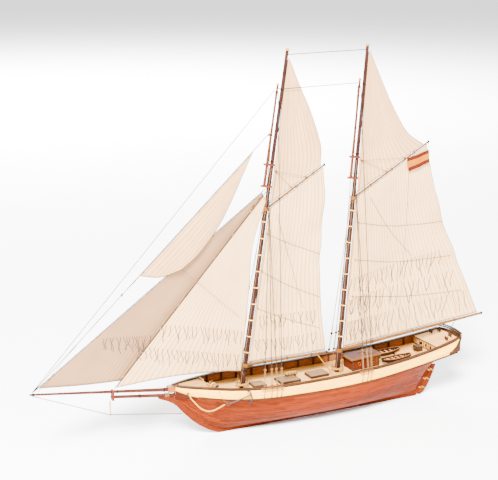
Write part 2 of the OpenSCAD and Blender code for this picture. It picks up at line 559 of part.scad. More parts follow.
// Hatch coamings, and the cheeks that the pump's brake rocks in
module hatches() color("wheat") {
    hatch(-90, 16, 17, 2.4);
    hatch(-50, 20, 27, 2.6);
    hatch(-9.5, 18, 25, 3);
    for (s = [-1, 1]) difference() {
        translate(pump_pivot + [-1, s * 1.4 - 0.4, -2.2]) cube([2, 0.8, 3.4]);
        translate(pump_pivot) rotate([90, 0, 0]) cylinder(h = 9, r = 0.5 + run_gap, center = true);
    }
}
cask_x = -41.5;
module water_cask() color("khaki") translate([cask_x, 8, deck_h(cask_x) + 6]) rotate([0, 90, 0]) {
    cylinder(h = 17, r = 2.2, center = true);
    for (z = [-8, 0, 8]) translate([0, 0, z]) cylinder(h = 1, r = 2.5, center = true);
}
module pin_rails() color("wheat") {
    translate([fore_x, 0, fore_deck_z + 5]) difference() {
        cylinder(h = 1.4, r = 8);
        translate([0, 0, -1]) cylinder(h = 4, r = 5.2);
    }
    for (s = [-1, 1]) translate([fore_x, s * 6.6, fore_deck_z + 0.7]) cylinder(h = 4.3, r = 0.9);
    translate([main_x, 0, main_deck_z + 5]) difference() {
        cylinder(h = 1.4, r = 8);
        translate([0, 0, -1]) cylinder(h = 4, r = 5.2);
    }
    for (s = [-1, 1]) translate([main_x, s * 6.6, main_deck_z + 0.7]) cylinder(h = 4.3, r = 0.9);
}
module belaying_pins() color("gold") for (m = [[fore_x, fore_deck_z], [main_x, main_deck_z]])
    for (a = [30 : 40 : 350]) if (abs(abs(a - 180) - 90) > 14)
        translate([m[0] + 6.6 * cos(a), 6.6 * sin(a), m[1] + 6.45]) cylinder(h = 2.2, r = 0.6, $fn = 16);

house_x = 53.75;
house_l = 36.5;
house_w = 20;
house_h = 13.6;
door_l = 7.2;
// Aft edge of the doorway, from the middle of the house
door_end = 14.6;
module deckhouse() color("brown") on_deck(house_x) difference() {
    translate([-house_l / 2, -house_w / 2, 0.3]) cube([house_l, house_w, house_h]);
    translate([-house_l / 2 + 1.4, -house_w / 2 + 1.4, 1.7]) cube([house_l - 2.8, house_w - 2.8, 20]);
    translate([door_end - door_l - 0.6, -house_w / 2 - 1, 1.5]) cube([door_l + 0.9, 4, 9.8]);
    translate([-8.8, 0, 7.5]) rotate([90, 0, 0]) cylinder(h = 40, r = 1.3, center = true);
}
module deckhouse_roof() color("saddlebrown") on_deck(house_x)
    translate([-20.75, -12, house_h + 0.4]) cube([41.5, 24, 1.6]);
module deckhouse_door() color("sienna") on_deck(house_x) {
    translate([door_end - door_l, -house_w / 2 - 0.2, 1.9]) cube([door_l, 1, 9]);
    for (z = [3, 8]) translate([door_end, -house_w / 2 - 0.45, z]) cylinder(h = 1.4, r = 0.4);
}
// Half-breadth of a dinghy at share t of its length, and the rise of its keel
function boat_b(t, w) = max(w / 2 * pow(sin(mix(20, 172, t)), 0.7), 0.5);
function boat_k(t) = 3.2 * pow(abs(t - 0.5) * 2, 3);
module boat_body(w, l, top, lift) {
    loft([for (t = stations(0, 1, 10)) let (
        b = boat_b(t, w), k = boat_k(t) + lift, x = mix(-l / 2, l / 2, t))
        [[x, -b, top + k / 3], [x, -b * 0.75, 1.8 + k], [x, 0, k], [x, b * 0.75, 1.8 + k],
         [x, b, top + k / 3]]]);
}
module dinghy(x, y, l) translate([x, y, deck_h(x) + 1.4]) rotate([0, -2.5, 0]) {
    difference() {
        boat_body(13, l, 6, 0);
        boat_body(11.4, l - 2.4, 7, 0.8);
    }
    for (t = [0.3, 0.5, 0.7])
        translate([mix(-l / 2, l / 2, t) - 1, -boat_b(t, 12), 4.4]) cube([2, 2 * boat_b(t, 12), 0.7]);
}
module dinghies() color("dimgray") {
    dinghy(97, -13, 42);
    dinghy(97, 13, 42);
}
helm_x = 133;
helm_z = deck_h(helm_x) + 5.4;
module helm_stand() color("burlywood") difference() {
    translate([helm_x, -5, deck_h(helm_x + 8) + 0.8]) cube([8, 10, 6]);
    translate([helm_x - 5, 0, helm_z]) rotate([0, 90, 0]) cylinder(h = 20, r = 0.8 + run_gap);
}
module helm_wheel() color("saddlebrown") translate([helm_x, 0, helm_z]) rotate([0, 90, 0]) {
    translate([0, 0, -3.4]) cylinder(h = 8, r = 0.8);
    translate([0, 0, -2]) {
        difference() {
            cylinder(h = 1, r = 3.6);
            translate([0, 0, -1]) cylinder(h = 3, r = 2.8);
        }
        for (a = [0 : 45 : 135]) rotate([0, 0, a]) translate([-4.4, -0.3, 0.2]) cube([8.8, 0.6, 0.6]);
    }
}
module pump_brake() color("wheat") {
    bar(pump_pivot, pump_pivot + [-19, 0, 25], 0.6);
    translate(pump_pivot) rotate([90, 0, 0]) cylinder(h = 3.8, r = 0.5, center = true);
}

// --- ground tackle ------------------------------------------------------
// The anchor lies catted along the port bow; its cable hangs free from the hawse hole
anchor_ring = [-142.8, -30.6, 45.6];
anchor_crown = [-117.6, -38.8, 55.6];
module anchor() color("gray") {
    bar(anchor_ring + [1.6, -0.5, 0.6], anchor_crown, 0.6);
    translate(anchor_crown) cube([2, 1.6, 2.4], center = true);
    bar(anchor_crown, [-122.6, -38.6, 62.4], 0.7, 0.4);
    bar(anchor_crown, [-117.4, -37.6, 45], 0.7, 0.4);
    translate(anchor_ring) rotate([90, 0, 60]) difference() {
        cylinder(h = 0.8, r = 1.9, center = true);
        cylinder(h = 2, r = 1.1, center = true);
    }
}
CABLE = [[-184, -13, 58.2], [-181.4, -13.4, 52.9], [-178.4, -14.3, 48.9], [-174.6, -15.6, 44.1],
    [-170.6, -17.2, 40.2], [-166.3, -19, 37.9], [-161.8, -20.9, 37], [-157.4, -22.7, 37.9],
    [-153, -24.5, 40.1], [-149.4, -27.2, 43.1], [-146.2, -29, 45.3]];
// Smooth point of a list of points at parameter u, from 0 to its last index
function route(c, u) = let (i = min(floor(u), len(c) - 2), t = u - i, p = c[i], q = c[i + 1],
    m = i == 0 ? q - p : (q - c[i - 1]) / 2, n = i == len(c) - 2 ? q - p : (c[i + 2] - p) / 2)
    p * (1 - 3 * t * t + 2 * t * t * t) + q * (3 * t * t - 2 * t * t * t)
    + m * t * (1 - t) * (1 - t) - n * t * t * (1 - t);
// Round tube of radius r along a route that never runs athwartships
module tube(c, r, rings, sides = 8) {
    loft([for (j = [0 : rings]) let (u = j * (len(c) - 1) / rings, e = 0.02,
        v = route(c, min(u + e, len(c) - 1)) - route(c, max(u - e, 0)), d = v / norm(v),
        s = cross(d, [0, 1, 0]), a = s / norm(s), b = cross(d, a))
        [for (i = [0 : sides - 1]) route(c, u) + r * (cos(i * 360 / sides) * a + sin(i * 360 / sides) * b)]]);
}
module anchor_cable() color("cornsilk") tube(CABLE, cable_r, 32);

false_keel();
bulkheads();
keel_and_posts();
planking_port();
planking_starboard();
wales();
bulwarks();
cap_rails();
transom();
stern_rail();
timberheads();
main_deck();
foredeck();
quarterdeck();
trailboards();
gudgeons();
channels();
deadeyes();
fore_mast();
main_mast();
topmasts();
spar_caps();
mast_trucks();
bowsprit();
jibboom();
dolphin_striker();
shrouds();
stays();
main_sheet();
flying_jib();
jib();
fore_staysail();
windlass_bitts();
hatches();
water_cask();
pin_rails();
belaying_pins();
deckhouse();
deckhouse_roof();
dinghies();
helm_stand();
anchor();
anchor_cable();
rudder();
pintles();
windlass_barrel();
helm_wheel();
deckhouse_door();
pump_brake();
fore_boom();
fore_gaff();
foresail();
fore_topsail();
fore_halyards();
main_boom();
main_gaff();
mainsail();
main_topsail();
main_halyards();
flag();
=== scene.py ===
import bmesh
import bpy
import math
import random
from math import cos, pi, radians, sin
from mathutils import Matrix, Vector, noise


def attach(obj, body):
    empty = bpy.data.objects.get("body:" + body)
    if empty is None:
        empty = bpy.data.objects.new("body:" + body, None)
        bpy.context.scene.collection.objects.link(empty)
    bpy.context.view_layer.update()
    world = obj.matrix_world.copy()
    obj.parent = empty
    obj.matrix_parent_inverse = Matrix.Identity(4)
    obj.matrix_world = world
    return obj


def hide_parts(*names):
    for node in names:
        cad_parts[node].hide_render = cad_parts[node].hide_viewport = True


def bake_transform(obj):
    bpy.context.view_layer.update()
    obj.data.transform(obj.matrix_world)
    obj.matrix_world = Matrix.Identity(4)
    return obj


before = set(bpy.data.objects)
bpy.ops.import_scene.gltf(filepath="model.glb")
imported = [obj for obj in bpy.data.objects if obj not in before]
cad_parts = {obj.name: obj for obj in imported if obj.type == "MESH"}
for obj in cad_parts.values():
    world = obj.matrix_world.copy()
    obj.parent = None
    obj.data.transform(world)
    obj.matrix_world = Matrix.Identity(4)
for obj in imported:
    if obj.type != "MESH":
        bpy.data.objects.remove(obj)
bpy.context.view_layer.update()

# Lengths are in millimetres here, and MM brings them to Blender's metres.
# +X is aft, +Y starboard, +Z up.
MM = 0.001
V = Vector
rng = random.Random(7)

# --- camera ---------------------------------------------------------------
# Fitted to the photo: direction, place in metres in the frame, and focal length for a 36 mm sensor
AZIMUTH, ELEVATION = radians(-25.92), radians(13.27)
CAMERA_AT, SENSOR, LENS = (-0.6635, -1.1565, 0.5317), 36, 83.13
right = V((cos(AZIMUTH), sin(AZIMUTH), 0))
back = V((sin(AZIMUTH) * cos(ELEVATION), -cos(AZIMUTH) * cos(ELEVATION), sin(ELEVATION)))
up = back.cross(right)
camera = bpy.data.objects.new("camera", bpy.data.cameras.new("camera"))
camera.data.sensor_width = SENSOR
camera.data.lens = LENS
camera.data.clip_start = 0.02
camera.matrix_world = Matrix.Translation(CAMERA_AT) @ Matrix((right, up, back)).transposed().to_4x4()
bpy.context.collection.objects.link(camera)
bpy.context.scene.camera = camera


# --- curves and spar lines, as in the CAD ---------------------------------
# Each curve is [x, value] points: shares of the half beam, heights in mm, shares of fullness.
HALF_BEAM, RAIL_Z, DECK_DROP, KEEL_HALF = 39, 59.7, 11, 1.7
PLAN = [[-197, 0.07], [-190, 0.2], [-180, 0.34], [-165, 0.51], [-135, 0.8], [-95, 0.965], [-45, 1],
        [5, 1], [55, 0.965], [95, 0.9], [135, 0.81], [165, 0.72], [184.5, 0.64]]
SHEER = [[-197, 8.6], [-185, 7.4], [-165, 5.7], [-135, 3.3], [-95, 0.8], [-45, 0], [5, 0.7],
         [55, 2.6], [95, 5.3], [135, 10], [165, 14.6], [184.5, 18.8]]
WALE = [[-197, 57], [-185, 55.4], [-165, 52.4], [-135, 49.4], [-95, 46.9], [-45, 45.4], [5, 45.2],
        [55, 47], [95, 50.4], [135, 54.4], [165, 57.4], [184.5, 59.4]]
RABBET = [[-197, 54.6], [-192, 47], [-185, 38.5], [-175, 27.5], [-165, 18.5], [-152, 10], [-138, 5.2],
          [-120, 4.5], [120, 4.5], [131, 4.6], [142, 23.6], [152, 40.2], [165, 48.2], [178, 55.8]]
FULLNESS = [[-197, 0.1], [-165, 0.3], [-120, 0.62], [-60, 0.9], [20, 0.95], [80, 0.66], [120, 0.32],
            [150, 0.16], [178, 0.35]]


def fair(c, x):
    """Value at x of the smooth curve through the points c."""
    i = 0
    while i < len(c) - 2 and x > c[i + 1][0]:
        i += 1

    def rise(k):
        a, b = max(k - 1, 0), min(k + 1, len(c) - 1)
        return (c[b][1] - c[a][1]) / (c[b][0] - c[a][0])
    h = c[i + 1][0] - c[i][0]
    t = (x - c[i][0]) / h
    return (c[i][1] * (1 - 3 * t * t + 2 * t ** 3) + c[i + 1][1] * (3 * t * t - 2 * t ** 3)
            + rise(i) * h * t * (1 - t) ** 2 - rise(i + 1) * h * t * t * (1 - t))


def mix(a, b, t):
    return a + (b - a) * t


def angles(n): return [2 * pi * i / n for i in range(n)]
def rail_h(x): return RAIL_Z + fair(SHEER, x)
def rail_b(x): return HALF_BEAM * fair(PLAN, x)
def wale_h(x): return fair(WALE, x)
def wale_b(x): return rail_b(x) - (2.6 * ((-120 - x) / 77) ** 1.3 if x < -120 else 0) * 0.9
def rabbet_h(x): return min(fair(RABBET, x), wale_h(x) - 1)
def deck_h(x): return rail_h(x) - DECK_DROP


def skin(x, t):
    """(half-breadth, height) of the hull's skin at x, t from the rabbet 0 to the wale 1."""
    f = fair(FULLNESS, x)
    full = f * (1 - (1 - t) ** 2.5) ** 0.6 + (1 - f) * t ** 1.55
    return V((KEEL_HALF + max(wale_b(x) - KEEL_HALF, 0.2) * full, mix(rabbet_h(x), wale_h(x), t)))


def breadth(x, z):
    """Half-breadth of the hull's outside at x and height z."""
    if z >= wale_h(x):
        return mix(wale_b(x), rail_b(x), min((z - wale_h(x)) / (rail_h(x) - wale_h(x)), 1))
    return skin(x, max(0, (z - rabbet_h(x)) / (wale_h(x) - rabbet_h(x))))[0]


def inset(x, t, d):
    """Point d inside the skin at x, t, square to the section."""
    p, v = skin(x, t), skin(x, min(t + 0.03, 1)) - skin(x, max(t - 0.03, 0))
    return V((x, max(p[0] - d * v[1] / v.length, 0.35), min(p[1] + d * v[0] / v.length, wale_h(x))))


FORE_X, FORE_RAKE, MAIN_X, MAIN_RAKE = -110.8, radians(8.3), 18.7, radians(4.8)


def on_fore(h, x=0, y=0):
    """Point h up the fore mast from the deck, x aft and y starboard of its axis."""
    return V((FORE_X + h * sin(FORE_RAKE) + x * cos(FORE_RAKE), y,
              deck_h(FORE_X) + h * cos(FORE_RAKE) - x * sin(FORE_RAKE)))


def on_main(h, x=0, y=0):
    """As on_fore, for the main mast."""
    return V((MAIN_X + h * sin(MAIN_RAKE) + x * cos(MAIN_RAKE), y,
              deck_h(MAIN_X) + h * cos(MAIN_RAKE) - x * sin(MAIN_RAKE)))


MAST_FOOT_R, MAST_HEAD_R, MAST_TALL = 3.2, 1.8, 396


def mast_radius(h): return mix(MAST_FOOT_R, MAST_HEAD_R, max(h, 0) / MAST_TALL)


FORE_UP, MAIN_UP = V((sin(FORE_RAKE), 0, cos(FORE_RAKE))), V((sin(MAIN_RAKE), 0, cos(MAIN_RAKE)))
JIB_TIP, JIB_HEEL = V((-365, 0, 83.6)), V((-204.5, 0, 63.4))
BOROWSHEAD, BOROWSHEEL = V((-273, 0, 65.8)), V((-197.4, 0, 55.6))
STRIKER = V((-274, 0, 44))
FLYING_STAY = [JIB_TIP + V((3.6, 0, 2)), on_fore(302, -8.4)]
JIB_STAY = [JIB_TIP + V((5, 1.2, 2.2)), on_fore(237.5, -4, 1.2)]
FORESTAY = [BOROWSHEAD + V((4, -0.8, 9.2)), on_fore(234, -4, -0.8)]
FORE_BOOM = [on_fore(28), V((4.8, 0, 77.8))]
FORE_GAFF = [on_fore(214.8), V((-2.7, 0, 309.3))]
MAIN_BOOM = [on_main(27.8), V((235, 0, 96.8))]
MAIN_GAFF = [on_main(216.8), V((142.7, 0, 327.1))]


def along(spar, t, rise=0, y=0):
    """Point at share t of a spar, raised and set off to starboard."""
    p = spar[0].lerp(spar[1], t)
    return V((p.x, y, p.z + rise))


def luff(stay, t, off=1):
    """Point on the centreplane beside a stay at share t, off below it."""
    a, b = stay
    d = V((b.x - a.x, b.z - a.z))
    return V((mix(a.x, b.x, t) + off * d[1] / d.length, 0, mix(a.z, b.z, t) - off * d[0] / d.length))


# --- shapes ----------------------------------------------------------------
class Shape:
    """Gathers faces with a UV in millimetres, a tone and a material number each."""

    def __init__(self):
        self.v, self.f, self.uv, self.tones, self.mats = [], [], [], [], []
        self.tone, self.mat = 0.0, 0

    def face(self, ids, uvs):
        self.f.append(ids)
        self.uv.extend(uvs)
        self.tones.append(self.tone)
        self.mats.append(self.mat)

    def loft(self, rings, closed=True, caps=True, loop=False):
        """Skin between rings of equal point counts; loop joins the last ring to the first."""
        n, k, m = len(self.v), len(rings[0]), len(rings)
        for r in rings:
            self.v.extend(V(p) for p in r)
        run = [0.0]
        for j in range(1, m + 1):
            a, b = rings[j % m], rings[j - 1]
            run.append(run[-1] + sum((V(a[i]) - V(b[i])).length for i in (0, k // 2)) / 2)
        span = k if closed else k - 1
        girth = [0.0]
        mid = rings[m // 2]
        for i in range(span):
            girth.append(girth[-1] + (V(mid[(i + 1) % k]) - V(mid[i])).length)
        for j in range(m if loop else m - 1):
            jj = (j + 1) % m
            for i in range(span):
                ii = (i + 1) % k
                self.face([n + jj * k + i, n + jj * k + ii, n + j * k + ii, n + j * k + i],
                          [(girth[i], run[j + 1]), (girth[i + 1], run[j + 1]), (girth[i + 1], run[j]),
                           (girth[i], run[j])])
        if caps and closed and not loop:
            for ids in ([n + i for i in range(k)], [n + m * k - 1 - i for i in range(k)]):
                self.face(ids, [(self.v[q].x, self.v[q].z + self.v[q].y) for q in ids])
        return self

    def tube(self, pts, r, sides=8, r_end=None):
        """Round rope or rod along points; r goes to r_end, or is a list of one radius a point."""
        pts = [V(p) for p in pts]
        m = len(pts)
        radii = r if isinstance(r, list) else [mix(r, r if r_end is None else r_end, j / max(m - 1, 1))
                                               for j in range(m)]
        d = (pts[1] - pts[0]).normalized()
        side = d.orthogonal().normalized()
        rings = []
        for j in range(m):
            e = (pts[min(j + 1, m - 1)] - pts[max(j - 1, 0)]).normalized()
            side = (side - e * side.dot(e)).normalized()
            other = e.cross(side)
            rings.append([pts[j] + radii[j] * (cos(a) * side + sin(a) * other) for a in angles(sides)])
        return self.loft(rings)

    def lathe(self, base, axis, profile, sides=20):
        """Turned piece: profile is a list of (height, radius) from base along axis."""
        axis = V(axis).normalized()
        a = axis.orthogonal().normalized()
        b = axis.cross(a)
        return self.loft([[V(base) + axis * h + r * (cos(w) * a + sin(w) * b) for w in angles(sides)]
                          for h, r in profile])

    def ring(self, centre, axis, big, small, n=28, k=8, squash=1.0):
        """Ring of mean radius big, round in section with radius small, stretched along axis by squash."""
        axis = V(axis).normalized()
        a = axis.orthogonal().normalized()
        b = axis.cross(a)
        rings = []
        for t in angles(n):
            out = cos(t) * a + sin(t) * b
            rings.append([V(centre) + out * (big + small * cos(w)) + axis * (small * squash * sin(w))
                          for w in angles(k)])
        return self.loft(rings, loop=True)

    def box(self, lo, hi, turn=None, at=(0, 0, 0), chamfer=0.18):
        """Board between two corners, its long edges chamfered, turned by a matrix about a point."""
        lo, hi, at = V(lo), V(hi), V(at)
        size = hi - lo
        c = min(chamfer, min(size) * 0.3)
        long = max(range(3), key=lambda q: size[q])
        p, q = (long + 1) % 3, (long + 2) % 3
        rings = []
        for w, k in ((0, c), (c, 0), (size[long] - c, 0), (size[long], c)):
            ring = []
            for s, t in ((c, 0), (size[p] - c, 0), (size[p], c), (size[p], size[q] - c),
                         (size[p] - c, size[q]),
                         (c, size[q]), (0, size[q] - c), (0, c)):
                pt = lo.copy()
                pt[long] += w
                pt[p] += mix(s, size[p] / 2, k / size[p] * 2 if k else 0)
                pt[q] += mix(t, size[q] / 2, k / size[q] * 2 if k else 0)
                ring.append(at + (turn @ pt if turn else pt))
            rings.append(ring)
        return self.loft(rings[::-1])

    def grid(self, cols, rows, du, dv):
        """Faces over rows of cols + 1 points, the first points of the shape; du, dv are UV steps."""
        for j in range(rows):
            for i in range(cols):
                a = j * (cols + 1) + i
                u0, u1, v0, v1 = i * du, (i + 1) * du, j * dv, (j + 1) * dv
                self.face([a, a + 1, a + cols + 2, a + cols + 1], [(u0, v0), (u1, v0), (u1, v1), (u0, v1)])

    def mirrored(self):
        """Adds the starboard copy of everything gathered so far."""
        n, m = len(self.v), len(self.f)
        self.v.extend(V((p.x, -p.y, p.z)) for p in self.v[:n])
        k = 0
        for j in range(m):
            ids, uvs = self.f[j], self.uv[k:k + len(self.f[j])]
            k += len(ids)
            self.f.append([n + i for i in reversed(ids)])
            self.uv.extend(reversed(uvs))
            self.tones.append(self.tones[j])
            self.mats.append(self.mats[j])
        return self


def spline(pts, n):
    """n + 1 points on a smooth curve through the points, evenly by index."""
    out = []
    for k in range(n + 1):
        u = k * (len(pts) - 1) / n
        i = min(int(u), len(pts) - 2)
        t, p, q = u - i, V(pts[i]), V(pts[i + 1])
        m1 = q - p if i == 0 else (q - V(pts[i - 1])) / 2
        m2 = q - p if i == len(pts) - 2 else (V(pts[i + 2]) - p) / 2
        out.append(p * (1 - 3 * t * t + 2 * t ** 3) + q * (3 * t * t - 2 * t ** 3) + m1 * t * (1 - t) ** 2
                   - m2 * t * t * (1 - t))
    return out


def make(name, shape, mats, body="hull", replaces=(), sharp=32):
    """Mesh object of a Shape, riding on a body, standing for CAD nodes."""
    mesh = bpy.data.meshes.new(name)
    mesh.from_pydata([p * MM for p in shape.v], [], shape.f)
    uv = mesh.uv_layers.new(name="UVMap")
    uv.data.foreach_set("uv", [c for p in shape.uv for c in p])
    mesh.attributes.new("tone", "FLOAT", "FACE").data.foreach_set("value", shape.tones)
    mats = mats if isinstance(mats, (list, tuple)) else [mats]
    for m in mats:
        mesh.materials.append(m)
    mesh.polygons.foreach_set("material_index", shape.mats)
    mesh.polygons.foreach_set("use_smooth", [True] * len(shape.f))
    mesh.set_sharp_from_angle(angle=radians(sharp))
    bm = bmesh.new()
    bm.from_mesh(mesh)
    bmesh.ops.recalc_face_normals(bm, faces=bm.faces)
    bm.to_mesh(mesh)
    bm.free()
    obj = bpy.data.objects.new(name, mesh)
    bpy.context.collection.objects.link(obj)
    if body:
        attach(obj, body)
    if replaces:
        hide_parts(*([replaces] if isinstance(replaces, str) else replaces))
    return obj


# --- materials -------------------------------------------------------------
class Nodes:
    """One material's node tree round a Principled shader, with short ways to add to it."""

    def __init__(self, name, rough=0.5, metal=0.0, sheen=0.0, shine=0.5, tint=(1, 1, 1)):
        self.mat = bpy.data.materials.new(name)
        self.mat.use_nodes = True
        self.t = self.mat.node_tree
        self.t.nodes.clear()
        self.out = self.add("OutputMaterial")
        self.bsdf = self.add("BsdfPrincipled")
        self.bsdf.inputs["Metallic"].default_value = metal
        self.bsdf.inputs["Specular IOR Level"].default_value = shine
        self.bsdf.inputs["Specular Tint"].default_value = (*tuple((c / max(tint)) ** 0.8 for c in tint), 1)
        self.bsdf.inputs["Roughness"].default_value = rough
        self.bsdf.inputs["Sheen Weight"].default_value = sheen
        self.bsdf.inputs["Sheen Roughness"].default_value = 0.5
        self.link(self.bsdf.outputs[0], self.out.inputs[0])

    def add(self, kind, **settings):
        n = self.t.nodes.new("ShaderNode" + kind)
        for k, v in settings.items():
            if hasattr(n, k):
                setattr(n, k, v)
            else:
                n.inputs[k].default_value = v
        return n

    def link(self, a, b):
        self.t.links.new(a, b)

    def coords(self, kind="Object", scale=(1000, 1000, 1000)):
        """Texture coordinates; the scale of 1000 turns metres into millimetres."""
        c = self.add("TexCoord")
        m = self.add("Mapping")
        m.inputs["Scale"].default_value = scale
        self.link(c.outputs[kind], m.inputs["Vector"])
        return m.outputs[0]

    def noise(self, vec, scale, detail=4, rough=0.55, distortion=0.0):
        n = self.add("TexNoise")
        n.inputs["Scale"].default_value = scale
        n.inputs["Detail"].default_value = detail
        n.inputs["Roughness"].default_value = rough
        n.inputs["Distortion"].default_value = distortion
        self.link(vec, n.inputs["Vector"])
        return n.outputs["Fac"]

    def ramp(self, fac, stops):
        r = self.add("ValToRGB")
        e = r.color_ramp.elements
        while len(e) < len(stops):
            e.new(0.5)
        for k, (pos, col) in enumerate(stops):
            e[k].position = pos
            e[k].color = (*col, 1) if len(col) == 3 else col
        self.link(fac, r.inputs[0])
        return r.outputs[0]

    def math(self, op, a, b=None, c=None):
        m = self.add("Math", operation=op)
        for k, x in enumerate((a, b, c)):
            if x is None:
                continue
            if isinstance(x, (int, float)):
                m.inputs[k].default_value = x
            else:
                self.link(x, m.inputs[k])
        return m.outputs[0]

    def blend(self, fac, a, b, kind="MIX"):
        m = self.add("MixRGB", blend_type=kind)
        for k, x in enumerate((fac, a, b)):
            if isinstance(x, (int, float)):
                m.inputs[k].default_value = x
            elif isinstance(x, tuple):
                m.inputs[k].default_value = (*x, 1)
            else:
                self.link(x, m.inputs[k])
        return m.outputs[0]

    def tone(self):
        return self.add("Attribute", attribute_name="tone").outputs["Fac"]

    def bump(self, height, strength, dist=0.0002, onto=None):
        b = self.add("Bump")
        b.inputs["Strength"].default_value = strength
        b.inputs["Distance"].default_value = dist
        self.link(height, b.inputs["Height"])
        if onto is not None:
            self.link(onto, b.inputs["Normal"])
        return b.outputs[0]

    def done(self, color=None, rough=None, normal=None):
        for x, k in ((color, "Base Color"), (rough, "Roughness"), (normal, "Normal")):
            if x is not None:
                self.link(x, self.bsdf.inputs[k])
        return self.mat


# Object coordinates in millimetres, squeezed along the grain so streaks run long
GRAIN = {"X": (120, 1000, 1000), "Z": (1000, 1000, 120)}


def wood(name, light, dark, axis="X", rough=0.42, tones=0.3, shine=0.09):
    """Varnished wood: long grain streaks, rings, fine pores and a tone a piece."""
    n = Nodes(name, shine=shine, tint=light)
    vec = n.coords(scale=GRAIN[axis])
    tone = n.tone()
    shift = n.add("VectorMath", operation="ADD")
    n.link(vec, shift.inputs[0])
    n.link(n.math("MULTIPLY", tone, 37.0), shift.inputs[1])
    vec = shift.outputs[0]
    streak = n.noise(vec, 0.405, 6, 0.6, 0.8)
    rings = n.add("TexWave", wave_type="RINGS", bands_direction="X")
    rings.inputs["Scale"].default_value = 0.081
    rings.inputs["Distortion"].default_value = 6
    rings.inputs["Detail"].default_value = 3
    n.link(vec, rings.inputs["Vector"])
    col = n.ramp(streak, [(0.28, dark), (0.55, tuple(mix(a, b, 0.75) for a, b in zip(dark, light))),
                          (0.8, light)])
    col = n.blend(0.28, col, n.ramp(rings.outputs[1], [(0.2, dark), (0.7, light)]))
    pores = n.noise(vec, 3.2, 2, 0.6)
    col = n.blend(n.ramp(pores, [(0.3, (0.5, 0.5, 0.5)), (0.46, (0, 0, 0))]), col, dark, "MULTIPLY")
    value = n.add("HueSaturation")
    n.link(col, value.inputs["Color"])
    n.link(n.math("MULTIPLY_ADD", tone, tones, 1.0), value.inputs["Value"])
    patch = n.noise(n.coords(), 0.06, 3)
    r = n.math("MULTIPLY_ADD", patch, 0.22, rough - 0.11)
    r = n.math("MULTIPLY_ADD", pores, 0.08, r)
    normal = n.bump(n.math("MULTIPLY_ADD", pores, 0.6, streak), 0.35, 0.0001)
    return n.done(value.outputs[0], r, normal)


def decking(name, light, dark, seam, width=4.2, length=62):
    """Laid deck: planks fore and aft with caulked seams and staggered butts."""
    n = Nodes(name, shine=0.1, tint=light)
    vec = n.coords()
    brick = n.add("TexBrick", offset=0.5, offset_frequency=3)
    for k, v in (("Scale", 1.0), ("Brick Width", length), ("Row Height", width), ("Mortar Size", 0.16),
                 ("Mortar Smooth", 0.3), ("Bias", 0.0)):
        brick.inputs[k].default_value = v
    brick.inputs["Color1"].default_value = (*light, 1)
    brick.inputs["Color2"].default_value = (*tuple(mix(a, b, 0.4) for a, b in zip(light, dark)), 1)
    brick.inputs["Mortar"].default_value = (*seam, 1)
    n.link(vec, brick.inputs["Vector"])
    g = n.coords(scale=(90, 1000, 1000))
    streak = n.noise(g, 0.7, 6, 0.6, 0.4)
    col = n.blend(0.5, brick.outputs["Color"], n.ramp(streak, [(0.3, dark), (0.75, light)]), "MULTIPLY")
    col = n.blend(0.55, col, brick.outputs["Color"])
    height = n.math("SUBTRACT", n.math("MULTIPLY", streak, 0.25), brick.outputs["Fac"])
    return n.done(col, n.math("MULTIPLY_ADD", streak, 0.2, 0.42), n.bump(height, 0.6, 0.00025))


THREAD = 0.55


def canvas(name, base, seam, spacing=6.4):
    """Sailcloth: sewn seams, woven threads, faint stains and creases. UV is in millimetres."""
    n = Nodes(name, rough=0.86, sheen=0.05, shine=0.15)
    uv = n.coords("UV", (1, 1, 1))
    split = n.add("SeparateXYZ")
    n.link(uv, split.inputs[0])
    u, v = split.outputs[0], split.outputs[1]
    saw = n.math("FRACT", n.math("DIVIDE", u, spacing))
    edge = n.math("ABSOLUTE", n.math("SUBTRACT", saw, 0.5))
    line = n.ramp(edge, [(0.0, (1, 1, 1)), (0.035, (0.75, 0.75, 0.75)), (0.075, (0, 0, 0))])
    lap = n.ramp(saw, [(0.5, (0, 0, 0)), (0.52, (1, 1, 1)), (0.66, (1, 1, 1)), (0.68, (0, 0, 0))])
    obj = n.coords()
    cloud = n.noise(obj, 0.018, 5, 0.6, 0.3)
    fine = n.noise(obj, 0.35, 3, 0.6)
    warp = n.math("SINE", n.math("MULTIPLY", u, 2 * pi / THREAD))
    weft = n.math("SINE", n.math("MULTIPLY", v, 2 * pi / THREAD))
    weave = n.math("MULTIPLY", warp, weft)
    col = n.ramp(cloud, [(0.3, tuple(c * 0.8 for c in base)), (0.7, base)])
    col = n.blend(n.math("MULTIPLY", fine, 0.12), col, tuple(c * 0.8 for c in base))
    col = n.blend(n.math("MULTIPLY", line, 0.9), col, seam)
    col = n.blend(n.math("MULTIPLY", lap, 0.2), col, seam)
    col = n.blend(n.math("MULTIPLY_ADD", weave, 0.025, 0.025), col, seam)
    normal = n.bump(weave, 0.18, 0.00006)
    normal = n.bump(n.math("MULTIPLY_ADD", lap, 0.6, n.math("MULTIPLY", line, -1.0)), 0.5, 0.00015, normal)
    normal = n.bump(n.noise(obj, 0.07, 4, 0.6, 0.5), 0.3, 0.0015, normal)
    return n.done(col, n.math("MULTIPLY_ADD", fine, 0.1, 0.8), normal)


